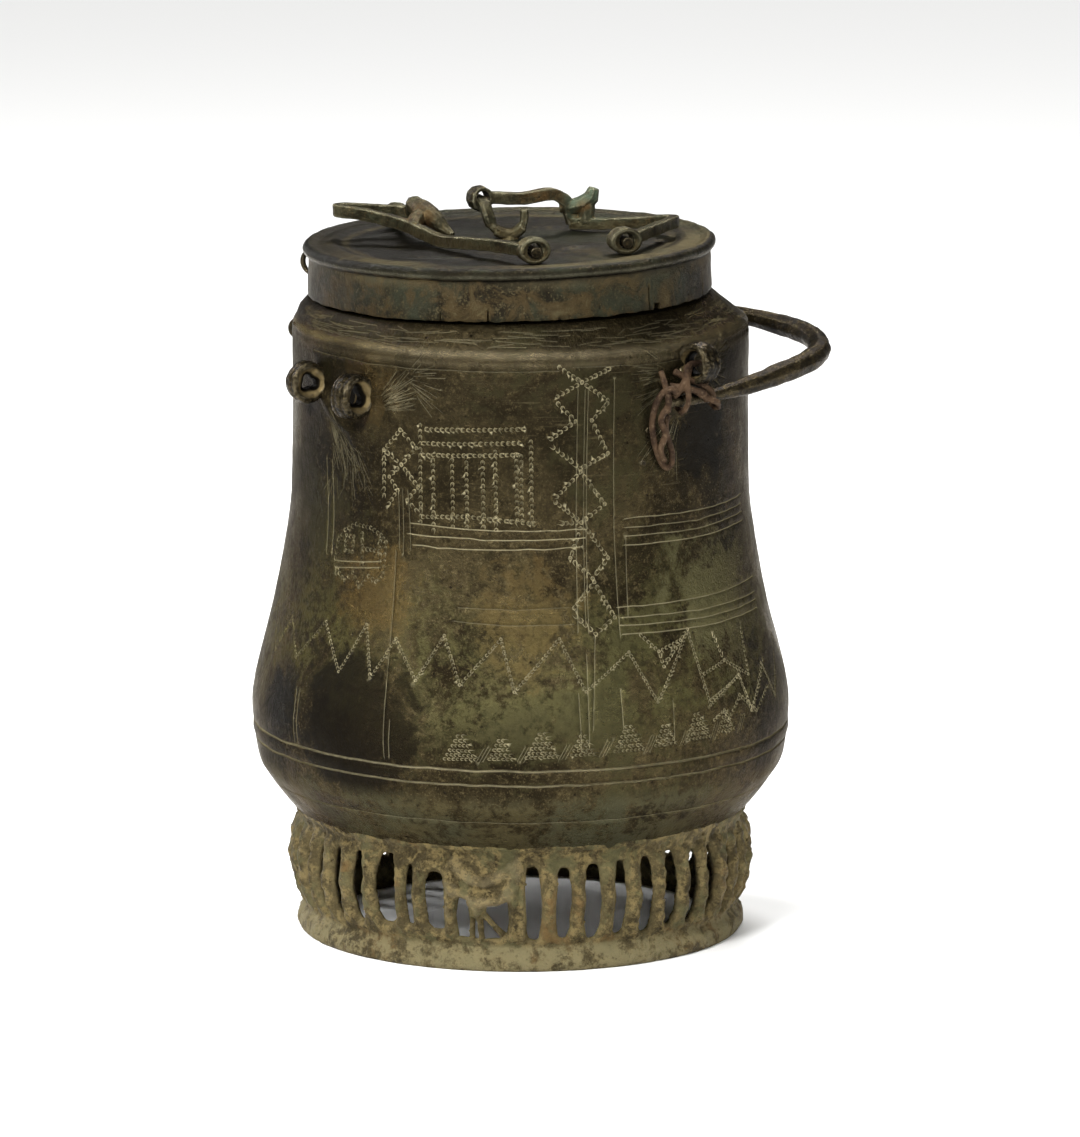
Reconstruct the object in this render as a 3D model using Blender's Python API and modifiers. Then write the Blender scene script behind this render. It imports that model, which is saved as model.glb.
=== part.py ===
# A lidded kuduo: a pear-shaped copper-alloy vessel on an openwork foot, with cast fetters on its lid
from math import cos, hypot, pi, radians, sin, tan

import bmesh
import bpy
from mathutils import Matrix, Vector

MM = 0.001

# Heights and radii of the vessel
FOOT_HEIGHT = 43.0 * MM
BODY_HEIGHT = 188.0 * MM
BELLY_RADIUS = 96.9 * MM
FOOT_RADIUS = 80.6 * MM
FOOT_WALL = 4.4 * MM
WALL = 2.6 * MM
NECK_RADIUS = 67.9 * MM
NECK_HEIGHT = 15.3 * MM
SHOULDER_LEDGE = 4.4 * MM
FLOOR_SAG = 4.2 * MM

# The mouth was cast a little off the axis and out of level, and the lid follows it
MOUTH_SHIFT = -4.0 * MM
MOUTH_LEAN = radians(1.0)

# Outline of the body: share of its height, share of the belly's radius
PEAR = (
    (0.038, 0.886), (0.079, 0.945), (0.114, 0.98), (0.202, 1.0), (0.252, 0.992),
    (0.312, 0.965), (0.39, 0.925), (0.471, 0.892), (0.55, 0.867), (0.629, 0.849),
    (0.925, 0.844), (0.952, 0.827),
)
RIDGE_SHARE = 0.952
# Outline of the foot, top to bottom: share of its height, share of the flange's radius
FOOT = (
    (0.985, 0.984), (0.9, 1.01), (0.6, 1.031), (0.27, 0.985), (0.195, 0.966), (0.145, 0.99), (0.03, 1.0),
)
FOOT_INNER_ROWS = ((0.2, 0.966), (0.58, 1.03), (0.88, 1.0))
FLANGE_FLAT = 6.2 * MM

# Two shallow mouldings round the belly
BELLY_LINES = (0.143, 0.174)
LINE_DEPTH = 0.5 * MM
LINE_WIDTH = 1.7 * MM

# Openwork of the foot
WINDOWS = 44
WINDOW_WIDTH = 6.0 * MM
WINDOW_HEIGHT = 26.6 * MM
WINDOW_MIDDLE = 0.565
PANEL_MIDDLE = radians(-10.2)
PANEL_SPAN = radians(25.3)
PANEL_OPENING_WIDTH = 18.6 * MM
PANEL_OPENING_HEIGHT = 15.0 * MM
BASE_BAND = 11.0 * MM
LEG_RADIUS = 0.95 * MM
SWAG_RADIUS = 2.7 * MM

# Ring lugs: angle from the front, drop below the shoulder, outer radius, length
LUG_BORE = 3.7 * MM
LUG_SINK = 2.0 * MM
LEFT_LUGS = (
    (radians(-59.5), 25.0 * MM, 7.6 * MM, 6.0 * MM),
    (radians(-42.5), 26.5 * MM, 8.0 * MM, 8.0 * MM),
    (radians(-134.0), 25.0 * MM, 7.6 * MM, 6.0 * MM),
)
FRONT_LUG = (radians(46.0), 15.5 * MM, 7.6 * MM, 8.0 * MM)
REAR_LUG = (radians(137.0), 14.5 * MM, 7.6 * MM, 6.0 * MM)
STAPLE_ANGLE = radians(-100.0)
STAPLE_DROP = 15.5 * MM
STAPLE_RADIUS = 3.0 * MM
STAPLE_WIRE = 1.1 * MM

# Lid
LID_WALL = 2.4 * MM
LID_FIT = 1.5 * MM
LID_DOME = 1.3 * MM
BEAD_RADIUS = 2.5 * MM
SKIRT_FLARE = 0.6 * MM
SKIRT_LIFT = 1.1 * MM
SEAT_GAP = 0.3 * MM
LOOP_ANGLE = radians(-104.0)
LOOP_REACH = 5.6 * MM
LOOP_HEIGHT = 10.0 * MM
LOOP_WIRE = 0.95 * MM
HOOK_WIDTH = 3.0 * MM
HOOK_THICKNESS = 2.7 * MM

# Fetters on the lid
BAR_WIDTH = 3.2 * MM
BAR_HEIGHT = 4.4 * MM
FETTER_EYE_RADIUS = 4.7 * MM
FETTER_EYE_BORE = 2.9 * MM
FETTER_EYE_LENGTH = 5.5 * MM
EYE_HEADING = (0.35, -0.94, 0.0)
LEFT_EYE = (12.0, -75.0)
RIGHT_EYE = (57.0, -49.0)
HOOK_EYE = (-14.3, 10.1, 3.11)
PIN_RADIUS = 2.05 * MM
PIN_LENGTH = 8.0 * MM

# Bail
BAIL_REACH = 111.6 * MM
BAIL_RADIUS = 4.2 * MM
BAIL_TIP_RADIUS = 1.9 * MM
BAIL_STAND_OFF = 3.5 * MM
BAIL_DROP = 12.7 * MM

# Leather thong
THONG_RADIUS = 1.15 * MM
THONG_GAP = 0.95 * MM

AXIS_X = (BELLY_RADIUS - BAIL_REACH) / 2
SEGMENTS = 40
OVERLAP = 1.0 * MM


def material(name, color, roughness, metallic):
    made = bpy.data.materials.new(name)
    made.use_nodes = True
    shader = made.node_tree.nodes["Principled BSDF"]
    shader.inputs["Base Color"].default_value = (*color, 1.0)
    shader.inputs["Roughness"].default_value = roughness
    shader.inputs["Metallic"].default_value = metallic
    return made


def clear_scene():
    for obj in list(bpy.data.objects):
        bpy.data.objects.remove(obj, do_unlink=True)


def collection(name):
    made = bpy.data.collections.new(name)
    bpy.context.scene.collection.children.link(made)
    return made


def new_object(name, mesh):
    obj = bpy.data.objects.new(name, mesh)
    bpy.context.scene.collection.objects.link(obj)
    return obj


def evaluated_mesh(obj):
    """A plain mesh of the object as its modifiers leave it, in world space."""
    bpy.context.view_layer.update()
    graph = bpy.context.evaluated_depsgraph_get()
    mesh = bpy.data.meshes.new_from_object(obj.evaluated_get(graph))
    mesh.transform(obj.matrix_world)
    return mesh


def weld(mesh, distance=1e-6):
    bm = bmesh.new()
    bm.from_mesh(mesh)
    bmesh.ops.remove_doubles(bm, verts=bm.verts, dist=distance)
    if bm.calc_volume(signed=True) < 0:
        bmesh.ops.reverse_faces(bm, faces=bm.faces)
    bm.to_mesh(mesh)
    bm.free()
    return mesh


def baked(obj, name):
    """The object replaced by a plain welded mesh."""
    mesh = weld(evaluated_mesh(obj))
    bpy.data.objects.remove(obj, do_unlink=True)
    return new_object(name, mesh)


def turned(name, profile, segments, closed=False):
    """A profile of (radius, height) pairs turned round Z."""
    edges = [(i, i + 1) for i in range(len(profile) - 1)]
    if closed:
        edges.append((len(profile) - 1, 0))
    mesh = bpy.data.meshes.new(name)
    mesh.from_pydata([(r, 0.0, z) for r, z in profile], edges, [])
    obj = new_object(name, mesh)
    screw = obj.modifiers.new("turn", "SCREW")
    screw.steps = screw.render_steps = segments
    screw.use_merge_vertices = True
    screw.merge_threshold = 0.00001
    return baked(obj, name)


def combined(name, obj, others, operation):
    """The object joined with others, or cut by them, as one plain mesh. The others are removed."""
    for other in others:
        boolean = obj.modifiers.new(operation, "BOOLEAN")
        boolean.operation = operation
        boolean.solver = "EXACT"
        boolean.use_self = operation == "UNION"
        boolean.object = other
    made = baked(obj, name)
    for other in others:
        bpy.data.objects.remove(other, do_unlink=True)
    return made


def smooth_path(points, steps, ring=False):
    """Points on a Catmull-Rom curve through the given ones. Each may carry more numbers than three."""
    if ring:
        ends = [points[-1], *points, points[0], points[1]]
    else:
        ends = [points[0], *points, points[-1]]
    path = []
    for a, b, c, d in zip(ends, ends[1:], ends[2:], ends[3:]):
        for k in range(steps):
            t = k / steps
            path.append(tuple(
                0.5 * (2 * q + (r - p) * t + (2 * p - 5 * q + 4 * r - s) * t ** 2
                       + (3 * q - p - 3 * r + s) * t ** 3)
                for p, q, r, s in zip(a, b, c, d)
            ))
    return path if ring else [*path, tuple(points[-1])]


def tube(name, points, radii, steps=2, sides=2, ring=False):
    """A round tube as a curve object, thick as radii say at each point. A ring runs back into its own start."""
    path = smooth_path([(*p, r) for p, r in zip(points, radii)], steps, ring)
    curve = bpy.data.curves.new(name, "CURVE")
    curve.dimensions = "3D"
    curve.bevel_depth = 1.0
    curve.bevel_resolution = sides
    curve.use_fill_caps = not ring
    spline = curve.splines.new("POLY")
    spline.points.add(len(path) - 1)
    for point, (x, y, z, radius) in zip(spline.points, path):
        point.co = (x, y, z, 1.0)
        point.radius = radius
    spline.use_cyclic_u = ring
    return new_object(name, curve)


def rod(name, points, radii, **options):
    """The same tube as a plain mesh, ready to be joined."""
    return baked(tube(name, points, radii, **options), name)


def flat_bar(name, points, width, height, steps=2):
    """A bar of rectangular section, its sides kept upright along the path."""
    path = [Vector(p) for p in smooth_path(points, steps)]
    bm = bmesh.new()
    rings = []
    side = None
    for i, place in enumerate(path):
        ahead = (path[min(i + 1, len(path) - 1)] - path[max(i - 1, 0)]).normalized()
        across = ahead.cross(Vector((0.0, 0.0, 1.0)))
        if across.length < 0.6 and side:
            across = side - ahead * side.dot(ahead)
        across.normalize()
        if side and across.dot(side) < 0:
            across.negate()
        side = across
        up = across.cross(ahead)
        rings.append([
            bm.verts.new(place + across * (width / 2 * a) + up * (height / 2 * b))
            for a, b in ((1, 1), (-1, 1), (-1, -1), (1, -1))
        ])
    for ring, following in zip(rings, rings[1:]):
        for k in range(4):
            bm.faces.new((ring[k], ring[k - 1], following[k - 1], following[k]))
    bm.faces.new(rings[0])
    bm.faces.new(reversed(rings[-1]))
    bmesh.ops.recalc_face_normals(bm, faces=bm.faces)
    mesh = bpy.data.meshes.new(name)
    bm.to_mesh(mesh)
    bm.free()
    return new_object(name, mesh)


def facing(direction):
    """Rotation that turns +Z to the direction."""
    return Vector((0.0, 0.0, 1.0)).rotation_difference(Vector(direction)).to_matrix().to_4x4()


def eye(name, centre, axis, outer, bore, length, segments=12):
    """A short thick tube with its axis along the direction."""
    half = length / 2
    ease = 0.2 * (outer - bore)
    profile = ((bore, half), (outer - ease, half), (outer, 0.4 * half), (outer, -0.4 * half),
               (outer - ease, -half), (bore, -half))
    made = turned(name, profile, segments, closed=True)
    made.data.transform(Matrix.Translation(centre) @ facing(axis))
    return made


def body_radius(height):
    """Outer radius of the body at a height above the ground."""
    share = (height - FOOT_HEIGHT) / BODY_HEIGHT
    for (low, r_low), (high, r_high) in zip(PEAR, PEAR[1:]):
        if low <= share <= high:
            return BELLY_RADIUS * (r_low + (r_high - r_low) * (share - low) / (high - low))
    return BELLY_RADIUS * (PEAR[0][1] if share < PEAR[0][0] else PEAR[-1][1])


def foot_radius(height):
    """Outer radius of the foot at a height above the ground."""
    share = height / FOOT_HEIGHT
    for (high, r_high), (low, r_low) in zip(FOOT, FOOT[1:]):
        if low <= share <= high:
            return FOOT_RADIUS * (r_low + (r_high - r_low) * (share - low) / (high - low))
    return FOOT_RADIUS


def around(angle, radius, height):
    """A place round the vessel: the angle is 0 at the front and grows towards the bail."""
    return Vector((radius * sin(angle), -radius * cos(angle), height))


def body_outline():
    """The body's outer rows from shoulder to collar, with the two mouldings raised on it."""
    rows = [(BELLY_RADIUS * r, FOOT_HEIGHT + BODY_HEIGHT * h) for h, r in PEAR]
    low, high = (FOOT_HEIGHT + BODY_HEIGHT * share for share in BELLY_LINES)
    rows = [row for row in rows if not low - LINE_WIDTH < row[1] < high + LINE_WIDTH]
    for height, rise in (
        (low - LINE_WIDTH / 2, 0.0), (low, LINE_DEPTH), ((low + high) / 2, 0.0), (high, LINE_DEPTH),
        (high + LINE_WIDTH / 2, 0.0),
    ):
        rows.append((body_radius(height) + rise, height))
    return sorted(rows, key=lambda row: -row[1])


def shoulder_height():
    return FOOT_HEIGHT + BODY_HEIGHT


def vessel_profile():
    """One section of the whole casting, from the middle of its floor, over the lip, to the underside."""
    shoulder = shoulder_height()
    lip = shoulder + NECK_HEIGHT
    collar = min(FOOT_RADIUS * FOOT[0][1], BELLY_RADIUS * PEAR[0][1])
    underside = FOOT_HEIGHT - WALL - FLOOR_SAG
    floor = [(0.0, underside + WALL), (0.6 * collar, underside + WALL + 0.3 * FLOOR_SAG),
             (collar - WALL, FOOT_HEIGHT + WALL)]
    inner = [(BELLY_RADIUS * r - WALL, FOOT_HEIGHT + BODY_HEIGHT * h) for h, r in PEAR[1::2]]
    neck = [(NECK_RADIUS - WALL, shoulder - WALL), (NECK_RADIUS - WALL, lip), (NECK_RADIUS, lip),
            (NECK_RADIUS, shoulder), (NECK_RADIUS + SHOULDER_LEDGE, shoulder - 0.1 * WALL)]
    foot = [(FOOT_RADIUS * r, FOOT_HEIGHT * h) for h, r in FOOT]
    base = [(FOOT_RADIUS * 0.99, 0.0), (FOOT_RADIUS * 0.99 - FLANGE_FLAT, 0.0)]
    foot_inner = [(FOOT_RADIUS * r - FOOT_WALL, FOOT_HEIGHT * h) for h, r in FOOT_INNER_ROWS]
    under = [(0.6 * collar, underside + 0.3 * FLOOR_SAG), (0.0, underside)]
    return [*floor, *inner, *neck, *body_outline(), *foot, *base, *foot_inner, *under]


def settle_mouth(obj):
    """Shifts and leans what lies above the shoulder's ridge, fully so at the neck."""
    ridge = FOOT_HEIGHT + BODY_HEIGHT * RIDGE_SHARE
    top = shoulder_height()
    for vertex in obj.data.vertices:
        share = min(1.0, max(0.0, (vertex.co.z - ridge) / (top - WALL - ridge)))
        vertex.co.z += vertex.co.x * tan(MOUTH_LEAN) * share
        vertex.co.x += MOUTH_SHIFT * share


def slot_outline(width, height):
    """An upright slot with pointed-arch ends, as (across, up) from its middle."""
    return [(width / 2, -0.37 * height), (width / 2, 0.37 * height), (0.0, height / 2),
            (-width / 2, 0.37 * height), (-width / 2, -0.37 * height), (0.0, -height / 2)]


def punch(bm, outline, angle, middle):
    """A prism through the foot's wall, its outline upright and facing out at the angle."""
    rings = []
    for out in (FOOT_RADIUS - 2 * FOOT_WALL, FOOT_RADIUS + 2 * FOOT_WALL):
        turn = Matrix.Rotation(angle, 4, "Z")
        rings.append([bm.verts.new(turn @ Vector((across, -out, middle + up))) for across, up in outline])
    inner, outer = rings
    bm.faces.new(inner)
    bm.faces.new(reversed(outer))
    for k in range(len(outline)):
        bm.faces.new((inner[k - 1], outer[k - 1], outer[k], inner[k]))


def window_cutter():
    """Slots all round the foot but for the panel."""
    bm = bmesh.new()
    pitch = (2 * pi - PANEL_SPAN) / (WINDOWS - 1)
    outline = slot_outline(WINDOW_WIDTH, WINDOW_HEIGHT)
    for i in range(WINDOWS):
        punch(bm, outline, PANEL_MIDDLE + PANEL_SPAN / 2 + i * pitch, FOOT_HEIGHT * WINDOW_MIDDLE)
    return finish_cutter(bm, "windows")


def panel_cutter():
    """The opening under the panel's swags, its top edge sagging in the middle."""
    bm = bmesh.new()
    w, h = PANEL_OPENING_WIDTH / 2, PANEL_OPENING_HEIGHT
    outline = [(0.8 * w, 0.0), (w, 0.2 * h), (0.95 * w, h), (0.0, 0.78 * h), (-0.95 * w, h), (-w, 0.2 * h),
               (-0.8 * w, 0.0)]
    punch(bm, outline, PANEL_MIDDLE, BASE_BAND)
    return finish_cutter(bm, "panel_opening")


def finish_cutter(bm, name):
    bmesh.ops.recalc_face_normals(bm, faces=bm.faces)
    mesh = bpy.data.meshes.new(name)
    bm.to_mesh(mesh)
    bm.free()
    obj = new_object(name, mesh)
    obj.hide_render = True
    obj.display_type = "WIRE"
    return obj


def panel_pieces():
    """Two nested swags hung from the collar, and three thin legs under them."""
    pieces = []
    half = PANEL_SPAN * 0.34
    for name, drop, spread, radius in (
        ("outer_swag", 0.38, 1.0, SWAG_RADIUS), ("inner_swag", 0.18, 0.6, SWAG_RADIUS * 0.8),
    ):
        points = []
        for i in range(7):
            share = i / 3 - 1
            height = FOOT_HEIGHT * (0.97 - drop * (1 - share ** 2))
            out = foot_radius(height) - 0.4 * radius
            points.append(around(PANEL_MIDDLE + half * spread * share, out, height))
        pieces.append(rod(name, points, [radius] * 7, steps=1, sides=1))
    top = BASE_BAND + PANEL_OPENING_HEIGHT
    for i, lean in enumerate((-2.6, 0.5, 6.2)):
        start = around(PANEL_MIDDLE + radians(lean * 0.2), foot_radius(top) - 0.5 * FOOT_WALL, top)
        end = around(PANEL_MIDDLE + radians(lean), foot_radius(BASE_BAND) - 0.5 * FOOT_WALL, BASE_BAND - OVERLAP)
        pieces.append(rod(f"leg_{i}", [start, end], [LEG_RADIUS] * 2, steps=1, sides=1))
    return pieces


def lug_centre(lug):
    angle, drop, outer, _ = lug
    height = shoulder_height() - drop
    return around(angle, body_radius(height) + outer - LUG_SINK, height)


def half_loop(name, base, outward, reach, height, wire):
    """A staple of wire standing out of a wall, its two feet one above the other."""
    points = []
    for i in range(7):
        turn = pi * i / 6
        out = base + outward * (reach * sin(turn) - OVERLAP)
        points.append(out + Vector((0.0, 0.0, height / 2 * cos(turn))))
    return rod(name, points, [wire] * 7, steps=1, sides=1)


def make_vessel():
    shell = turned("vessel_shell", vessel_profile(), SEGMENTS)
    settle_mouth(shell)
    pierced = combined("vessel_pierced", shell, [window_cutter(), panel_cutter()], "DIFFERENCE")
    added = panel_pieces()
    for i, lug in enumerate((*LEFT_LUGS, FRONT_LUG, REAR_LUG)):
        angle, _, outer, length = lug
        along = (cos(angle), sin(angle), 0.0)
        added.append(eye(f"lug_{i}", lug_centre(lug), along, outer, LUG_BORE, length))
    staple_height = shoulder_height() - STAPLE_DROP
    wall = around(STAPLE_ANGLE, body_radius(staple_height), staple_height)
    added.append(half_loop("staple", wall, around(STAPLE_ANGLE, 1.0, 0.0), STAPLE_RADIUS,
                           2 * STAPLE_RADIUS, STAPLE_WIRE))
    return combined("vessel", pierced, added, "UNION")


def skirt_radius():
    return NECK_RADIUS + LID_FIT + LID_WALL


def plate_top(x, y):
    """Height of the lid's plate over its own edge."""
    return LID_DOME * (1 - (x * x + y * y) / skirt_radius() ** 2)


def on_plate(x, y, height):
    """A place over the lid, from its middle: x and y in hundredths of the plate's radius."""
    x, y = (share * skirt_radius() / 100 for share in (x, y))
    return Vector((x, y, height + plate_top(x, y)))


def eye_place(x, y):
    """Middle of a fetter's eye that lies on the plate."""
    return on_plate(x, y, FETTER_EYE_RADIUS + SEAT_GAP)


def lid_profile():
    """Plate, bead and skirt, from the top's middle round to the underside's."""
    skirt = skirt_radius()
    depth = NECK_HEIGHT + SEAT_GAP + LID_WALL - SKIRT_LIFT
    bead = skirt + 0.3 * BEAD_RADIUS - BEAD_RADIUS * 0.5
    top = [(0.0, LID_DOME), (0.35 * skirt, plate_top(0.35 * skirt, 0.0)), (0.7 * skirt, plate_top(0.7 * skirt, 0.0)),
           (bead - BEAD_RADIUS, 0.0)]
    turns = [radians(a) for a in (120, 60, 0, -60)]
    ring = [(bead + BEAD_RADIUS * cos(t), BEAD_RADIUS * sin(t) - 0.2 * BEAD_RADIUS) for t in turns]
    wall = [(skirt, -1.3 * BEAD_RADIUS), (skirt + SKIRT_FLARE, -depth), (skirt + SKIRT_FLARE - LID_WALL, -depth),
            (skirt - LID_WALL, -LID_WALL),
            (0.4 * skirt, plate_top(0.4 * skirt, 0.0) - LID_WALL), (0.0, LID_DOME - LID_WALL)]
    return [*top, *ring, *wall]


def make_lid():
    plate = turned("lid_plate", lid_profile(), SEGMENTS)
    hook_path = [on_plate(x, y, h * HOOK_THICKNESS) for x, y, h in (
        (-17.0, 15.4, 5.15), (-13.8, 8.8, 5.05), (-11.5, 2.0, 4.45), (-10.0, 0.0, 3.05), (-7.8, 0.0, 1.55),
        (-2.8, 0.0, 0.55), (2.2, 0.0, 0.55), (6.4, 0.0, 1.45), (7.7, 0.0, 2.6), (7.6, 0.0, 3.85),
    )]
    hook = flat_bar("hook", hook_path, HOOK_WIDTH, HOOK_THICKNESS)
    depth = NECK_HEIGHT + SEAT_GAP + LID_WALL - SKIRT_LIFT
    wall = around(LOOP_ANGLE, skirt_radius() + SKIRT_FLARE / 2, -0.5 * depth)
    loop = half_loop("loop", wall, around(LOOP_ANGLE, 1.0, 0.0), LOOP_REACH, LOOP_HEIGHT, LOOP_WIRE)
    return combined("lid", plate, [hook, loop], "UNION")


def fetter_bar(name, places, width=BAR_WIDTH, height=BAR_HEIGHT, start=()):
    """A bar over the lid, its places in hundredths of the plate's radius and in bar heights."""
    return flat_bar(name, [*start, *(on_plate(x, y, h * BAR_HEIGHT) for x, y, h in places)], width, height)


def fetter_rod(name, places):
    """A round piece over the lid: place as for a bar, then its radius in bar heights."""
    points = [on_plate(x, y, h * BAR_HEIGHT) for x, y, h, _ in places]
    return rod(name, points, [r * BAR_HEIGHT for *_, r in places], steps=1)


def fetter_eye(name, centre, heading):
    return eye(name, centre, heading, FETTER_EYE_RADIUS, FETTER_EYE_BORE, FETTER_EYE_LENGTH, 10)


def make_left_fetter():
    """A hairpin of flat bar from an eye by the rim, with a curled clasp over its ends."""
    x, y = LEFT_EYE
    hairpin = fetter_bar("left_hairpin", (
        (x - 5.4, y - 0.8, 1.17), (-9.0, -58.0, 1.09), (-27.0, -38.5, 0.82), (-35.0, -26.0, 0.7),
        (-51.5, -8.5, 1.55), (-70.5, 1.4, 2.25), (-82.5, 4.8, 2.55), (-85.5, 9.2, 2.6), (-82.0, 14.0, 2.55),
        (-66.0, 18.2, 2.2), (-47.7, 18.9, 1.95),
    ))
    clasp = fetter_rod("left_clasp", (
        (-27.8, -13.3, 0.73, 0.3), (-34.4, -8.4, 1.41, 0.6), (-41.4, -1.4, 2.18, 0.82), (-46.6, 7.0, 2.82, 0.78),
        (-47.7, 13.3, 2.77, 0.64), (-48.4, 18.5, 1.91, 0.57),
    ))
    cheek = fetter_rod("left_cheek", (
        (-42.8, 0.7, 2.18, 0.73), (-45.7, -7.0, 1.91, 0.73), (-47.1, -12.9, 1.45, 0.59),
    ))
    link = fetter_bar("left_link", ((-55.5, 40.4, 1.27), (-51.9, 28.0, 1.68), (-48.4, 17.5, 2.0)))
    front = fetter_eye("left_front_eye", eye_place(x, y), EYE_HEADING)
    back = fetter_eye("left_back_eye", eye_place(-56.7, 44.9), (0.9, -0.44, 0.0))
    return combined("left_fetter", hairpin, [clasp, cheek, link, front, back], "UNION")


def make_right_fetter():
    """The second hairpin, whose arched end hangs by an eye on the lid's hook."""
    x, y = RIGHT_EYE
    hairpin = fetter_bar("right_hairpin", (
        (x + 5.0, y + 4.5, 1.2), (71.5, -23.8, 1.27), (79.5, -5.6, 1.32), (82.5, 2.2, 1.32), (79.0, 9.0, 1.23),
        (65.0, 14.9, 0.91), (47.7, 19.6, 0.68), (30.3, 22.7, 0.64),
    ), BAR_WIDTH * 1.15, BAR_HEIGHT * 0.95)
    front = fetter_eye("right_front_eye", eye_place(x, y), EYE_HEADING)
    hook_x, hook_y, hook_height = HOOK_EYE
    held = on_plate(hook_x, hook_y, hook_height * BAR_HEIGHT)
    leave = held + Vector((0.85 * FETTER_EYE_RADIUS, 0.3 * FETTER_EYE_RADIUS, 0.0))
    arch = fetter_bar("right_arch", (
        (7.0, 14.0, 2.95), (18.2, 17.1, 3.18), (24.1, 19.6, 3.05), (29.6, 21.6, 2.32), (30.6, 22.4, 1.36),
        (32.0, 22.7, 0.68),
    ), BAR_WIDTH * 1.1, start=(leave,))
    clasp = fetter_rod("right_clasp", (
        (25.2, 22.2, 1.91, 0.41), (31.5, 22.4, 2.0, 0.68), (37.3, 22.4, 2.23, 0.8), (41.5, 22.4, 2.82, 0.68),
        (42.9, 22.4, 3.55, 0.45),
    ))
    stub = fetter_rod("right_stub", ((38.7, 22.4, 2.18, 0.77), (39.0, 21.9, 0.73, 0.66)))
    back = fetter_eye("right_back_eye", held, (0.5, -0.866, 0.0))
    return combined("right_fetter", hairpin, [arch, clasp, stub, front, back], "UNION")


def make_pin(name, place):
    """A rivet lying in a fetter's front eye."""
    drop = FETTER_EYE_BORE - PIN_RADIUS - SEAT_GAP
    bm = bmesh.new()
    bmesh.ops.create_cone(bm, cap_ends=True, segments=12, radius1=PIN_RADIUS, radius2=PIN_RADIUS, depth=PIN_LENGTH)
    mesh = bpy.data.meshes.new(name)
    bm.to_mesh(mesh)
    bm.free()
    mesh.transform(Matrix.Translation(eye_place(*place) - Vector((0.0, 0.0, drop))) @ facing(EYE_HEADING))
    return new_object(name, mesh)


def bail_plan():
    """Stations of the bail's centre line: angle, distance from the axis, height, radius."""
    low = lug_centre(FRONT_LUG).z - BAIL_DROP
    near = body_radius(low) + BAIL_TIP_RADIUS + BAIL_STAND_OFF
    reach = BAIL_REACH - BAIL_RADIUS
    rear = lug_centre(REAR_LUG)
    rear_angle, rear_out = REAR_LUG[0], hypot(rear.x, rear.y)
    thin = min(1.3 * BAIL_TIP_RADIUS, LUG_BORE - 2 * SEAT_GAP)
    stations = (
        (36.5, near, 0.0, BAIL_TIP_RADIUS), (44.0, near + 0.6 * MM, 0.02, 1.15 * BAIL_TIP_RADIUS),
        (52.5, near + 2.2 * MM, 0.06, 1.4 * BAIL_TIP_RADIUS), (63.5, near + 5.6 * MM, 0.16, 0.86 * BAIL_RADIUS),
        (71.5, near + 10.4 * MM, 0.3, BAIL_RADIUS), (79.5, reach - 3.6 * MM, 0.42, BAIL_RADIUS),
        (89.0, reach, 0.55, BAIL_RADIUS), (98.5, reach - 1.6 * MM, 0.7, BAIL_RADIUS),
        (107.0, reach - 8.0 * MM, 0.82, BAIL_RADIUS), (115.5, near + 4.6 * MM, 0.92, 0.8 * BAIL_RADIUS),
    )
    plan = [(radians(a), out, low + (rear.z - low) * share, radius) for a, out, share, radius in stations]
    plan += [(rear_angle - radians(10.0), rear_out + 0.8 * MM, rear.z, thin), (rear_angle, rear_out, rear.z, thin),
             (rear_angle + radians(6.5), rear_out + 0.5 * MM, rear.z, 0.75 * thin)]
    return plan


def bail_at(angle):
    """Distance from the axis, height and radius of the bail at an angle."""
    plan = bail_plan()
    for (a, *low), (b, *high) in zip(plan, plan[1:]):
        if a <= angle <= b:
            return [p + (q - p) * (angle - a) / (b - a) for p, q in zip(low, high)]
    return plan[0][1:]


def make_bail():
    plan = bail_plan()
    return tube("bail", [around(a, out, z) for a, out, z, _ in plan], [radius for *_, radius in plan])


def make_thong_wrap():
    """The thong's turns: through the lug, twice round the bail's tip, and back to the lug."""
    angle, _, _, length = FRONT_LUG
    centre = lug_centre(FRONT_LUG)
    centre_out = hypot(centre.x, centre.y)
    beside = length / 2 + THONG_RADIUS + THONG_GAP

    def station(across, out_rings, up_rings):
        """A place beside the bail, in rings of thong laid round it."""
        turn = angle + across / centre_out
        out, z, radius = bail_at(turn)
        ring = radius + THONG_RADIUS + THONG_GAP
        return around(turn, out + out_rings * ring, z + up_rings * ring)

    def by_mouth(across, drop):
        return around(angle + across / centre_out, centre_out, centre.z - drop)

    points = [
        by_mouth(0.0, 0.0), by_mouth(-beside, 0.8 * MM), station(-beside - 2.4 * MM, 0.8, 1.2),
        station(-beside - 2.9 * MM, 1.0, 0.0), station(-beside - 2.7 * MM, 0.0, -1.0),
        station(-beside - 1.8 * MM, -1.0, 0.0), station(-beside - 0.3 * MM, 0.1, 1.05),
        station(-0.4 * beside, 1.05, 0.3), station(0.6 * beside, 1.0, -0.4), station(beside + 0.8 * MM, 0.0, -1.0),
        station(beside + 0.4 * MM, -1.0, 0.1), station(beside, -0.6, 1.4), by_mouth(beside, 1.0 * MM),
    ]
    return tube("thong_wrap", points, [THONG_RADIUS] * len(points), sides=1, ring=True)


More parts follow.
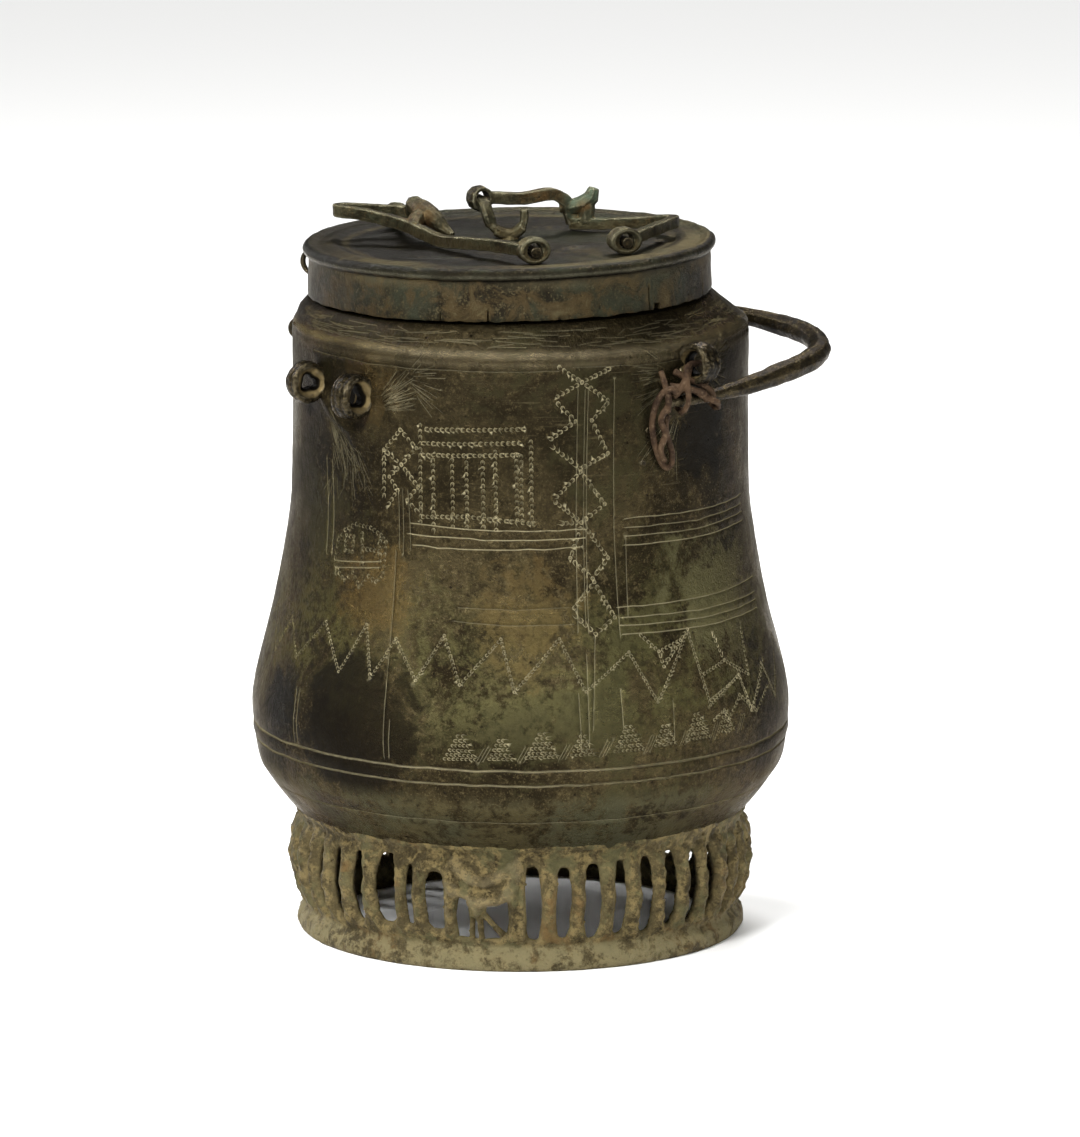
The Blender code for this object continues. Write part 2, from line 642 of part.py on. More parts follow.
# Route of the hanging loop: distance round from the front lug, distance out from the wall, height over the bail's tip
THONG_LOOP_ROUTE = (
    (-12.0, 8.6, 3.6), (-13.8, 8.0, 5.4), (-16.0, 6.6, 4.4), (-17.4, 5.0, 1.2), (-17.9, 3.4, -3.2),
    (-17.8, 2.4, -8.0), (-16.9, 1.9, -13.0), (-15.2, 1.7, -18.0), (-13.2, 1.7, -22.0), (-11.0, 1.8, -23.8),
    (-9.2, 2.0, -22.0), (-9.4, 2.3, -18.4), (-11.0, 2.8, -14.6), (-12.9, 3.6, -11.0), (-13.6, 4.2, -7.2),
    (-12.8, 4.6, -4.2),
)


def make_thong_loop():
    angle = FRONT_LUG[0]
    low = lug_centre(FRONT_LUG).z - BAIL_DROP
    wall = body_radius(low)
    points = [around(angle + a * MM / wall, wall + out * MM, low + up * MM) for a, out, up in THONG_LOOP_ROUTE]
    return tube("thong_loop", points, [THONG_RADIUS] * len(points), sides=1)


def main():
    clear_scene()
    kuduo = collection("kuduo")
    # Colour, roughness and metallic value
    bronze = (0.085, 0.078, 0.05), 0.55, 0.65
    lid_bronze = (0.095, 0.088, 0.062), 0.5, 0.65
    leather = (0.06, 0.035, 0.025), 0.8, 0.0

    base = bpy.data.objects.new("vessel_axis", None)
    base.location = (AXIS_X, 0.0, 0.0)
    kuduo.objects.link(base)

    lid_height = shoulder_height() + NECK_HEIGHT + SEAT_GAP + LID_WALL
    seat = bpy.data.objects.new("lid_seat", None)
    seat.location = (MOUTH_SHIFT, 0.0, lid_height)
    seat.rotation_euler = (0.0, -MOUTH_LEAN, 0.0)
    seat.parent = base
    kuduo.objects.link(seat)

    pieces = [
        (make_vessel(), base, bronze),
        (make_bail(), base, bronze),
        (make_thong_wrap(), base, leather),
        (make_thong_loop(), base, leather),
        (make_lid(), seat, lid_bronze),
        (make_left_fetter(), seat, lid_bronze),
        (make_right_fetter(), seat, lid_bronze),
        (make_pin("left_fetter_pin", LEFT_EYE), seat, bronze),
        (make_pin("right_fetter_pin", RIGHT_EYE), seat, bronze),
    ]
    for obj, parent, finish in pieces:
        bpy.context.scene.collection.objects.unlink(obj)
        kuduo.objects.link(obj)
        obj.parent = parent
        obj.data.materials.clear()
        obj.data.materials.append(material(f"{obj.name}_finish", *finish))
        if obj.type == "MESH":
            obj.data.shade_smooth()
            obj.data.set_sharp_from_angle(angle=radians(35.0))


main()
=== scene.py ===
# Looks of a lidded kuduo: cast copper alloy with punched and cut ornament, and an old leather thong on its bail
import math
import random

import bmesh
import bpy
import numpy as np
from mathutils import Matrix, Vector, kdtree, noise
from mathutils.geometry import delaunay_2d_cdt


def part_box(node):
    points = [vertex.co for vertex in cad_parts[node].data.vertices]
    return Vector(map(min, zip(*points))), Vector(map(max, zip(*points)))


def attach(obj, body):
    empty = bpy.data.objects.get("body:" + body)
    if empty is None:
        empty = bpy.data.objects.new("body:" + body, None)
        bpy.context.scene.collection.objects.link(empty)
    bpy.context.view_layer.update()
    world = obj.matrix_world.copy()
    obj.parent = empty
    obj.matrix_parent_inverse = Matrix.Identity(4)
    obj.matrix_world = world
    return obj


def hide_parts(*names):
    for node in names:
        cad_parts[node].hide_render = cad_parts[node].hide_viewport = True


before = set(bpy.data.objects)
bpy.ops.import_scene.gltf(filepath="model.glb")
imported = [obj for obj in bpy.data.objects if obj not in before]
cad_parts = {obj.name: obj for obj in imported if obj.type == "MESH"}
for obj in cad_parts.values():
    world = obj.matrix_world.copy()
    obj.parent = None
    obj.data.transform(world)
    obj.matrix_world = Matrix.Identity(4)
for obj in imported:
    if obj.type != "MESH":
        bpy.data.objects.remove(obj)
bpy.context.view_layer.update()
scene = bpy.context.scene
mm = 0.001
print("frame loaded")

# Sizes of the vessel in millimetres
vessel = {
    "footHeight": 43.0,
    "bodyHeight": 188.0,
    "bellyRadius": 96.9,
    "footRadius": 80.6,
    "wall": 2.6,
    "neckRadius": 67.9,
    "neckHeight": 15.3,
    "ledge": 4.4,
    "floorSag": 4.2,
    "mouthShift": -4.0,
    "mouthLean": math.radians(1.0),
    "ridgeShare": 0.952,
}
# Body outline: share of the height, share of the belly's radius
pearOutline = (
    (-0.003, 0.818), (0.038, 0.886), (0.079, 0.945), (0.114, 0.98), (0.202, 1.0), (0.252, 0.992), (0.312, 0.965),
    (0.39, 0.925), (0.471, 0.892), (0.55, 0.867), (0.629, 0.849), (0.78, 0.8435), (0.925, 0.844), (0.952, 0.832),
)
shoulder = vessel["footHeight"] + vessel["bodyHeight"]
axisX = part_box("vessel")[0][0] / mm + vessel["bellyRadius"]


# A place in metres, from an angle in degrees (0 in front, growing to the bail's side) and sizes in millimetres
def around(degrees, radius, height, shift=0.0):
    turn = math.radians(degrees)
    return Vector((axisX + shift + radius * math.sin(turn), -radius * math.cos(turn), height)) * mm


def smoothRows(rows, step):
    rows = np.array(rows, float)
    ends = np.vstack([2 * rows[0] - rows[1], rows, 2 * rows[-1] - rows[-2]])
    made = []
    for a, b, c, d in zip(ends, ends[1:], ends[2:], ends[3:]):
        count = max(2, int(np.hypot(*(c - b)[:2]) / step))
        for t in np.arange(count) / count:
            made.append(0.5 * (2 * b + (c - a) * t + (2 * a - 5 * b + 4 * c - d) * t ** 2
                               + (3 * b - a - 3 * c + d) * t ** 3))
    return np.array([*made, rows[-1]])


pearRows = smoothRows([(vessel["footHeight"] + vessel["bodyHeight"] * h, vessel["bellyRadius"] * r)
                       for h, r in pearOutline], 2.0)
ledgeRadius = vessel["neckRadius"] + vessel["ledge"]
pearRows = np.vstack([pearRows, [(226.5, 76.6), (shoulder - 0.3, ledgeRadius)]])


def pearRadius(height):
    return np.interp(height, pearRows[:, 0], pearRows[:, 1])


# The mouth sits a little off the axis and out of level
def settled(x, z):
    ridge = vessel["footHeight"] + vessel["bodyHeight"] * vessel["ridgeShare"]
    share = np.clip((z - ridge) / (shoulder - vessel["wall"] - ridge), 0.0, 1.0)
    return x + vessel["mouthShift"] * share, z + x * math.tan(vessel["mouthLean"]) * share


def addObject(name, data):
    obj = bpy.data.objects.new(name, data)
    scene.collection.objects.link(obj)
    return obj


# The camera stands where the photograph's did, and looks a little down
cameraPlan = {"sensor": 36.0, "lens": 277.6, "place": (-0.0003, -3.1, 0.7338), "downTilt": 11.02, "farthest": 60.0}
cameraData = bpy.data.cameras.new("camera")
cameraData.sensor_width = cameraPlan["sensor"]
cameraData.lens = cameraPlan["lens"]
cameraData.clip_end = cameraPlan["farthest"]
camera = addObject("camera", cameraData)
camera.location = cameraPlan["place"]
camera.rotation_euler = (math.radians(90.0 - cameraPlan["downTilt"]), 0.0, 0.0)
scene.camera = camera

sunPlan = {"strength": 2.9, "spread": 35.0, "from": (-0.45, -0.62, 1.5)}
daylight = bpy.data.lights.new("daylight", "SUN")
daylight.energy = sunPlan["strength"]
daylight.angle = math.radians(sunPlan["spread"])
addObject("daylight", daylight).rotation_euler = Vector(sunPlan["from"]).to_track_quat("Z", "Y").to_euler()

# Lamps near the vessel: place, size, power
lampPlan = {
    "key": ((-0.6, -1.15, 0.95), 0.34, 24.0),
    "fill": ((1.25, -0.9, 0.6), 0.4, 11.0),
    "rim": ((-1.1, 0.9, 0.9), 0.4, 16.0),
    "top": ((0.2, 0.75, 1.3), 0.5, 20.0),
}
lampTarget = Vector((0, 0, 0.13))
for name, (place, size, power) in lampPlan.items():
    lamp = bpy.data.lights.new(name, "AREA")
    lamp.shape = "DISK"
    lamp.size = size
    lamp.energy = power
    holder = addObject(name, lamp)
    holder.location = place
    holder.rotation_euler = (lampTarget - Vector(place)).to_track_quat("-Z", "Y").to_euler()

world = bpy.data.worlds.new("studio")
world.use_nodes = True
world.node_tree.nodes["Background"].inputs["Color"].default_value = (1.0, 1.0, 1.0, 1.0)
world.node_tree.nodes["Background"].inputs["Strength"].default_value = 0.1
scene.world = world
scene.view_settings.view_transform = "Standard"


# Short ways to add and link nodes in one tree
class Nodes:
    def __init__(self, tree):
        self.tree = tree

    def add(self, kind, inputs=(), **settings):
        node = self.tree.nodes.new(kind)
        for key, value in settings.items():
            setattr(node, key, value)
        for key, value in dict(inputs).items():
            self.put(node.inputs[key], value)
        return node

    def put(self, socket, value):
        if isinstance(value, bpy.types.NodeSocket):
            self.tree.links.new(value, socket)
        elif isinstance(value, tuple) and len(value) == 3 and socket.type == "RGBA":
            socket.default_value = (*value, 1.0)
        else:
            socket.default_value = value

    def noise(self, vector, scale, detail=4.0, rough=0.55, distortion=0.0):
        node = self.add("ShaderNodeTexNoise", {"Vector": vector, "Scale": scale, "Detail": detail,
                                               "Roughness": rough, "Distortion": distortion})
        return node.outputs["Fac"]

    def ramp(self, value, low, high, start=0.0, end=1.0):
        node = self.add("ShaderNodeMapRange", {"Value": value, "From Min": low, "From Max": high,
                                               "To Min": start, "To Max": end}, interpolation_type="SMOOTHSTEP")
        return node.outputs["Result"]

    def math(self, operation, a, b=0.0, clamp=False):
        node = self.add("ShaderNodeMath", {0: a, 1: b}, operation=operation, use_clamp=clamp)
        return node.outputs[0]

    def times(self, a, b, clamp=False):
        return self.math("MULTIPLY", a, b, clamp)

    def plus(self, a, b, clamp=False):
        return self.math("ADD", a, b, clamp)

    def mix(self, share, a, b):
        node = self.add("ShaderNodeMix", {0: share}, data_type="RGBA")
        for key, value in ((6, a), (7, b)):
            self.put(node.inputs[key], value)
        return node.outputs[2]

    def spot(self, vector, centre, radius, soft=0.5):
        node = self.add("ShaderNodeVectorMath", {0: vector, 1: centre}, operation="DISTANCE")
        return self.ramp(node.outputs["Value"], radius, radius * soft)

    def onPiece(self):
        return self.add("ShaderNodeTexCoord").outputs["Object"]

    def height(self, vector):
        return self.add("ShaderNodeSeparateXYZ", {"Vector": vector}).outputs["Z"]

    def mask(self, label):
        return self.add("ShaderNodeAttribute", attribute_name=label).outputs["Fac"]


def newFinish(name):
    made = bpy.data.materials.new(name)
    made.use_nodes = True
    return made, Nodes(made.node_tree), made.node_tree.nodes["Principled BSDF"]


def shaderGroup(name, inputs, outputs):
    tree = bpy.data.node_groups.new(name, "ShaderNodeTree")
    for kind, label, value in inputs:
        socket = tree.interface.new_socket(name=label, in_out="INPUT", socket_type=kind)
        socket.default_value = value
    for kind, label in outputs:
        tree.interface.new_socket(name=label, in_out="OUTPUT", socket_type=kind)
    nodes = Nodes(tree)
    return tree, nodes, nodes.add("NodeGroupInput").outputs, nodes.add("NodeGroupOutput")


# Mottled patina: two metal browns that cloud into each other, dark pits, and pale dirt where a mask asks for it
def makePatina():
    tree, n, given, out = shaderGroup("oldPatina", (
        ("NodeSocketColor", "Dark", (0.02, 0.016, 0.01, 1)), ("NodeSocketColor", "Body", (0.07, 0.06, 0.035, 1)),
        ("NodeSocketColor", "Dirt", (0.2, 0.17, 0.09, 1)), ("NodeSocketFloat", "Clouds", 30.0),
        ("NodeSocketFloat", "Dirt Amount", 0.3),
    ), (("NodeSocketColor", "Color"), ("NodeSocketFloat", "Grain"), ("NodeSocketFloat", "Gloss")))
    place = n.onPiece()
    clouds = n.noise(place, given["Clouds"], 7.0, 0.68, 0.4)
    fine = n.noise(place, 420.0, 6.0, 0.72)
    crumbs = n.noise(place, 1300.0, 3.0, 0.6)
    pits = n.add("ShaderNodeTexVoronoi", {"Vector": place, "Scale": 210.0}).outputs["Distance"]
    color = n.mix(n.ramp(clouds, 0.38, 0.6), given["Dark"], given["Body"])
    color = n.mix(n.ramp(fine, 0.5, 0.64, 0.0, 0.75), color, given["Dark"])
    dirtMask = n.times(n.ramp(fine, 0.46, 0.36), given["Dirt Amount"])
    color = n.mix(dirtMask, color, given["Dirt"])
    color = n.mix(n.ramp(pits, 0.16, 0.05, 0.0, 0.7), color, (0.008, 0.006, 0.004))
    color = n.mix(n.ramp(crumbs, 0.56, 0.7, 0.0, 0.5), color, given["Dirt"])
    color = n.mix(n.ramp(crumbs, 0.44, 0.34, 0.0, 0.6), color, given["Dark"])
    grain = n.plus(n.times(fine, 0.7), n.times(crumbs, 0.3))
    n.put(out.inputs["Color"], color)
    n.put(out.inputs["Grain"], n.math("SUBTRACT", grain, n.ramp(pits, 0.14, 0.04, 0.0, 0.35)))
    n.put(out.inputs["Gloss"], n.ramp(clouds, 0.3, 0.7))
    return tree


# Fine lines from a file or abrasive, laid along one direction by the stretch of the coordinates
def makeScratches():
    tree, n, given, out = shaderGroup("finishingScratches", (
        ("NodeSocketVector", "Stretch", (60.0, 60.0, 1500.0)), ("NodeSocketVector", "Turn", (0.0, 0.0, 0.0)),
    ), (("NodeSocketFloat", "Lines"),))
    place = n.onPiece()
    laid = n.add("ShaderNodeMapping", {"Vector": place, "Scale": given["Stretch"], "Rotation": given["Turn"]})
    lines = n.noise(laid.outputs["Vector"], 1.0, 3.0, 0.6)
    gaps = n.noise(place, 55.0, 2.0)
    n.put(out.inputs["Lines"], n.times(n.ramp(lines, 0.58, 0.7), n.ramp(gaps, 0.46, 0.62)))
    return tree


patina = makePatina()
scratches = makeScratches()


# What every bronze finish shares
bronzeCoat = {
    "deepening": 1.17,
    "powderShare": 1.7,
    "powder": (0.37, 0.33, 0.205),
    # Painted shade colour for the insides of the lugs' bores
    "paintedBoreShade": (0.0015, 0.0012, 0.0008),
    "grainRough": 0.14,
    "dryRough": 0.3,
    "rubbedSmooth": 0.2,
    "specular": 0.36,
    "specularTint": (0.33, 0.285, 0.205, 1.0),
    "bumpDistance": 0.0015,
}


# A finish for one piece: the shared patina in the piece's colours, and what its own paint lays over it
def bronzeFinish(name, plan, paint=None):
    made, n, shader = newFinish(name)
    coat = n.add("ShaderNodeGroup", node_tree=patina)
    for label, key in (("Dark", "dark"), ("Body", "body"), ("Dirt", "dirt"), ("Clouds", "clouds"),
                       ("Dirt Amount", "dirtAmount")):
        n.put(coat.inputs[label], plan[key])
    place = n.onPiece()
    color = coat.outputs["Color"]
    if paint:
        color = paint(n, place, color)
    color = n.add("ShaderNodeGamma", {"Color": color, "Gamma": bronzeCoat["deepening"]}).outputs["Color"]
    powder = n.times(n.mask("powder"), bronzeCoat["powderShare"], True)
    dust, wearAndHighlight, deep = n.mask("dust"), n.mask("wearAndHighlight"), n.mask("deep")
    patchy = n.noise(place, 150.0, 4.0, 0.7)
    color = n.mix(n.times(dust, n.ramp(patchy, 0.25, 0.6, 0.35, 0.95)), color, plan["dirt"])
    # The wear-and-highlight mask lightens rubbed metal, and on the lid's bead it lays a painted highlight
    color = n.mix(n.times(wearAndHighlight, n.ramp(patchy, 0.3, 0.65, 0.25, 0.8)), color,
                  tuple(min(1.0, 1.9 * c + 0.015) for c in plan["body"]))
    color = n.mix(n.times(powder, n.ramp(patchy, 0.3, 0.55, 0.7, 1.0)), color, bronzeCoat["powder"])
    # Painted shade: the deep mask turns the bores of the lugs near-black inside
    n.put(shader.inputs["Base Color"], n.mix(deep, color, bronzeCoat["paintedBoreShade"]))
    roughness = n.ramp(coat.outputs["Gloss"], 0.0, 1.0, *plan["rough"])
    roughness = n.plus(roughness, n.times(coat.outputs["Grain"], bronzeCoat["grainRough"]))
    roughness = n.plus(roughness, n.times(n.plus(n.plus(dust, powder), deep), bronzeCoat["dryRough"]), True)
    roughness = n.math("SUBTRACT", roughness, n.times(wearAndHighlight, bronzeCoat["rubbedSmooth"]), True)
    n.put(shader.inputs["Roughness"], roughness)
    shader.inputs["Metallic"].default_value = plan["metallic"]
    shader.inputs["Specular IOR Level"].default_value = bronzeCoat["specular"]
    shader.inputs["Specular Tint"].default_value = bronzeCoat["specularTint"]
    lift = n.add("ShaderNodeBump", {"Height": coat.outputs["Grain"], "Strength": plan["bump"],
                                    "Distance": bronzeCoat["bumpDistance"]})
    n.put(shader.inputs["Normal"], lift.outputs["Normal"])
    return made


# One closed piece from points and faces, with masks for its finish
def meshPiece(name, points, faces, masks=None, mergeAt=2e-6, sharpAngle=50.0):
    mesh = bpy.data.meshes.new(name)
    mesh.from_pydata([tuple(p) for p in points], [], [tuple(int(i) for i in f) for f in faces])
    for label, values in (masks or {}).items():
        mesh.attributes.new(label, "FLOAT", "POINT").data.foreach_set("value", np.asarray(values, np.float32))
    bm = bmesh.new()
    bm.from_mesh(mesh)
    bmesh.ops.remove_doubles(bm, verts=bm.verts, dist=mergeAt)
    loose = [v for v in bm.verts if not v.link_faces]
    bmesh.ops.delete(bm, geom=loose, context="VERTS")
    bmesh.ops.recalc_face_normals(bm, faces=bm.faces)
    openEdges = sum(1 for e in bm.edges if len(e.link_faces) != 2)
    bm.to_mesh(mesh)
    bm.free()
    mesh.shade_smooth()
    mesh.set_sharp_from_angle(angle=math.radians(sharpAngle))
    print(f"{name}: {len(mesh.polygons)} faces, {openEdges} open edges")
    return addObject(name, mesh)


def objectFrom(name, bm):
    mesh = bpy.data.meshes.new(name)
    bm.to_mesh(mesh)
    bm.free()
    return addObject(name, mesh)


def plainMesh(obj):
    bpy.context.view_layer.update()
    graph = bpy.context.evaluated_depsgraph_get()
    mesh = bpy.data.meshes.new_from_object(obj.evaluated_get(graph))
    mesh.transform(obj.matrix_world)
    return mesh


# Closed shapes run together into one casting skin: voxels, then a few rounds of smoothing
def castTogether(name, objects, voxel, rounds):
    bpy.context.view_layer.update()
    bm = bmesh.new()
    for obj in objects:
        part = plainMesh(obj)
        bm.from_mesh(part)
        bpy.data.objects.remove(obj, do_unlink=True)
    bmesh.ops.remove_doubles(bm, verts=bm.verts, dist=1e-6)
    joined = objectFrom(name, bm)
    skin = joined.modifiers.new("skin", "REMESH")
    skin.mode = "VOXEL"
    skin.voxel_size = voxel * mm
    skin.use_smooth_shade = True
    smooth = joined.modifiers.new("smooth", "SMOOTH")
    smooth.factor = 0.5
    smooth.iterations = rounds
    skinned = plainMesh(joined)
    bpy.data.objects.remove(joined, do_unlink=True)
    skinned.materials.clear()
    skinned.shade_smooth()
    print(f"{name}: {len(skinned.polygons)} faces")
    return addObject(name, skinned)


# Cast unevenness: slow swells and a finer roughness, both along the normals, in millimetres
def roughen(obj, swell, swellSize, grit, gritSize, seed):
    mesh = obj.data
    points = readVectors(mesh, "co")
    normals = readVectors(mesh, "normal")
    shift = Vector((seed * 3.1, seed * 1.7, seed * 0.9))
    rise = np.array([swell * noise.noise(Vector(p) / (swellSize * mm) + shift)
                     + grit * noise.noise(Vector(p) / (gritSize * mm) + shift * 2) for p in points])
    mesh.vertices.foreach_set("co", (points + normals * rise[:, None] * mm).ravel())
    mesh.update()


def readVectors(mesh, what):
    values = np.empty(len(mesh.vertices) * 3)
    mesh.vertices.foreach_get(what, values)
    return values.reshape(-1, 3)


# Uneven swells round the vessel in layers: how much, waves round, length up
def ripples(angles, heights, layers):
    return np.array([sum(much * noise.noise(Vector((math.cos(a) * waves, math.sin(a) * waves, z / tall)))
                         for much, waves, tall in layers) for a, z in zip(angles, heights)])


# Where the skin is hollow it gathers dust, and where it stands out it's rubbed bright
def shadeByForm(obj, finish):
    least, gain, rounds = 0.06, 6.0, 2
    mesh = obj.data
    count = len(mesh.vertices)
    points = readVectors(mesh, "co")
    normals = readVectors(mesh, "normal")
    edges = np.empty(len(mesh.edges) * 2, int)
    mesh.edges.foreach_get("vertices", edges)
    edges = edges.reshape(-1, 2)
    lengths = np.linalg.norm(points[edges[:, 0]] - points[edges[:, 1]], axis=1)
    nearby = points.copy()
    degree = np.bincount(edges.ravel(), minlength=count).clip(1)[:, None]
    for _ in range(rounds):
        total = np.zeros_like(points)
        np.add.at(total, edges[:, 0], nearby[edges[:, 1]])
        np.add.at(total, edges[:, 1], nearby[edges[:, 0]])
        nearby = total / degree
    hollow = ((nearby - points) * normals).sum(axis=1) / lengths.mean()
    dust = np.clip((hollow - least) * gain, 0, 1)
    wearAndHighlight = np.clip((-hollow - least) * gain, 0, 1)
    for label, values in (("dust", dust), ("wearAndHighlight", wearAndHighlight)):
        layer = mesh.attributes.get(label) or mesh.attributes.new(label, "FLOAT", "POINT")
        layer.data.foreach_set("value", values.astype(np.float32))
    mesh.materials.append(finish)
    return obj


# A closed outline turned into a ring
def ringProfile(name, profile, segments):
    bm = bmesh.new()
    rings = []
    for k in range(segments):
        turn = 2 * math.pi * k / segments
        rings.append([bm.verts.new((r * math.cos(turn) * mm, r * math.sin(turn) * mm, z * mm)) for r, z in profile])
    for k in range(segments):
        a, b = rings[k], rings[(k + 1) % segments]
        for i in range(len(profile)):
            j = (i + 1) % len(profile)
            bm.faces.new((a[i], a[j], b[j], b[i]))
    bmesh.ops.remove_doubles(bm, verts=bm.verts, dist=1e-7)
    bmesh.ops.recalc_face_normals(bm, faces=bm.faces)
    return objectFrom(name, bm)


# A round bar through points in metres, with a radius in millimetres at each
def roundBar(name, points, radii, sides=5, steps=5):
    rows = []
    ends = [points[0], *points, points[-1]]
    widths = [radii[0], *radii, radii[-1]]
    for i in range(1, len(ends) - 2):
        for k in range(steps):
            t = k / steps
            rows.append(catmull(ends[i - 1:i + 3], t) + (catmull(widths[i - 1:i + 3], t),))
    rows.append((*points[-1], radii[-1]))
    curve = bpy.data.curves.new(name, "CURVE")
    curve.dimensions = "3D"
    curve.bevel_depth = mm
    curve.bevel_resolution = sides
    curve.use_fill_caps = True
    spline = curve.splines.new("POLY")
    spline.points.add(len(rows) - 1)
    for point, (x, y, z, r) in zip(spline.points, rows):
        point.co = (x, y, z, 1.0)
        point.radius = r
    return addObject(name, curve)


# A point or a width between the middle two of four
def catmull(four, t):
    a, b, c, d = four

    def blend(p, q, r, s):
        return 0.5 * (2 * q + (r - p) * t + (2 * p - 5 * q + 4 * r - s) * t ** 2 + (3 * q - p - 3 * r + s) * t ** 3)

    if hasattr(a, "__len__"):
        return tuple(blend(*values) for values in zip(a, b, c, d))
    return blend(a, b, c, d)


# Ornament: each mark is a line on the unrolled wall, cut or raised by so much over its half width

ornament = {
    "wrap": 88.0,           # the radius at which the wall is unrolled
    "punchPitch": 2.1,
    "punchSize": 0.74,
    "punchCut": 0.34,
    "punchHalf": 0.21,
    "lineHalf": 0.27,
    "lineCut": 0.24,
    "faintLine": 0.14,
    "plainLine": 0.55,
    "faintStarts": (-62, -178, 14, -15),    # the sets of long lines that hardly show
    "upright": (0.22, 0.3),                 # half width, powder
    "beltHeights": (70.9, 76.4),
    "belt": (0.52, 0.6, 0.5),               # half width, cut, powder
    "mountains": 8,
    "mountainRows": ((6, 10.0), (5, 7.4)),  # rows and width, by turns
    "mountainRise": 1.65,
    "mountainPunch": (0.75, 0.68),          # powder, size
    "shoulderLines": 110,
}


def unrolled(points, wrap):
    return [(math.radians(a) * wrap, z) for a, z in points]


def resample(points, step):
    points = np.asarray(points, float)
    along = np.append(0.0, np.cumsum(np.hypot(*np.diff(points, axis=0).T)))
    at = np.linspace(0.0, along[-1], max(2, int(round(along[-1] / step)) + 1))
    return np.column_stack([np.interp(at, along, points[:, k]) for k in (0, 1)])


def mark(points, half, cut, fill, step=2.0):
    return {"points": np.asarray(points, float), "half": half, "cut": cut, "fill": fill, "step": step}


# A hand-cut line, a little unsteady
def cutLine(points, rng, half=None, cut=None, fill=0.8, unsteady=0.12):
    path = resample(unrolled(points, ornament["wrap"]), 5.0)
    path[:, 1] += [rng.gauss(0.0, unsteady) for _ in path]
    return mark(path, half or ornament["lineHalf"], cut or ornament["lineCut"], fill * rng.uniform(0.8, 1.0))


# A row of small crescent punches along a line
def punchRow(points, rng, fill=1.0, small=1.0):
    path = resample(unrolled(points, ornament["wrap"]), ornament["punchPitch"] * small)
    heading = math.atan2(*(path[-1] - path[0])[::-1])
    made = []
    for x, z in path:
        turn = heading + rng.gauss(0.0, 0.2)
        size = ornament["punchSize"] * rng.uniform(0.85, 1.1) * small
        arc = [(x + size * math.cos(turn + k), z + size * math.sin(turn + k)) for k in (0.9, 1.7, 2.5, 3.3, 4.1, 4.9)]
        made.append(mark(arc, ornament["punchHalf"], ornament["punchCut"] * rng.uniform(0.8, 1.1),
                         fill * rng.uniform(0.7, 1.0), step=0.7 * small))
    return made


# Rows of punches stacked into a small mountain
def punchMountain(angle, base, rows, width, rng):
    made = []
    for i in range(rows):
        half = width * (rows - i) / rows / 2 / math.radians(1.0) / ornament["wrap"]
        height = base + i * ornament["mountainRise"]
        made += punchRow([(angle - half, height), (angle + half, height + rng.uniform(-0.2, 0.3))], rng,
                         *ornament["mountainPunch"])
    return made


# Short file strokes that fan out from a place, as where a lug was cleaned up
def fileStrokes(angle, height, headings, reach, count, rng):
    made = []
    wrap = ornament["wrap"]
    x0 = math.radians(angle) * wrap
    for _ in range(count):
        turn = math.radians(rng.uniform(*headings))
        start = rng.uniform(*reach)
        end = start + rng.uniform(3.0, 10.0)
        skew = rng.uniform(-0.07, 0.07)
        ends = [(x0 + start * math.cos(turn), height + start * math.sin(turn)),
                (x0 + end * math.cos(turn + skew), height + end * math.sin(turn + skew))]
        made.append(mark(ends, 0.17, rng.uniform(0.07, 0.14), rng.uniform(0.02, 0.17), step=1.8))
    return made


# Belly zigzag from left to right: angle from the front, height
zigzagRoute = (
    (-83, 112), (-78, 122), (-72, 106), (-66, 120), (-60, 107), (-51, 122), (-44, 106), (-38, 123.5), (-35, 105.5),
    (-29.5, 120), (-23.5, 106.5), (-17.5, 122.5), (-13.3, 106), (-4.3, 122), (-1.2, 104), (9, 122), (14.5, 103.5),
    (25.3, 116), (31, 98), (42, 121), (45, 94), (56, 102), (58.5, 89), (67, 103), (71, 90), (80, 110), (88, 94),
)
# The chain of lozenges right of the middle, strand by strand
lozengeChain = (
    ((9.7, 217.5), (15.4, 211.8), (22, 205)),
    ((22.5, 216), (15.4, 211.8), (9.3, 207)),
    ((9.4, 204.5), (13.8, 198), (7.8, 192)),
    ((22, 203.8), (18, 198), (22.2, 186), (15.1, 181), (8.3, 188.8)),
    ((15.1, 180), (9.2, 171.5)),
    ((15.1, 180), (21.3, 168), (15.2, 162), (8.8, 169.4)),
    ((15.2, 162), (10.4, 162)),
    ((15, 160), (12.2, 149.7), (17.5, 142.3), (21.7, 149), (16.3, 160)),
    ((12.7, 132.3), (17.9, 141), (22.5, 128.3), (17.6, 123), (13.1, 129.4)),
)
# Crossed strokes at the right end of the belly
thornRoutes = (
    ((28.7, 121.4), (33, 115), (39.4, 117.8)),
    ((41.9, 121), (33.8, 109.7), (33, 115)),
    ((44.7, 105), (52, 108), (50, 116.7)),
    ((52, 108), (60, 101), (61.4, 117)),
    ((45.3, 95.7), (56.3, 101.7), (58.4, 88.7), (68.4, 103.5)),
    ((45.5, 88.7), (49, 91.3), (50.3, 88), (55, 95), (60.5, 88), (67, 94.4)),
)
# The small figure at the left: an arch on crossed legs
archOutline = ((-50, 139), (-51, 144), (-50.7, 150.7), (-48.5, 154.7), (-44.5, 157.5), (-39.5, 157.2), (-36.2, 155.2),
               (-34.6, 153), (-34.8, 142))
archInside = (
    ((-47.7, 153), (-45, 153), (-45, 147.7), (-47.7, 147.7), (-47.7, 153)),
    ((-42.2, 154.7), (-41.4, 144.3)), ((-41.5, 149.5), (-36.5, 149.5)), ((-36.3, 153), (-36, 146)),
    ((-50, 140.5), (-46.7, 137.4), (-44.2, 140.5), (-41.5, 136), (-39, 140.2), (-36.6, 138.7), (-35, 141)),
)
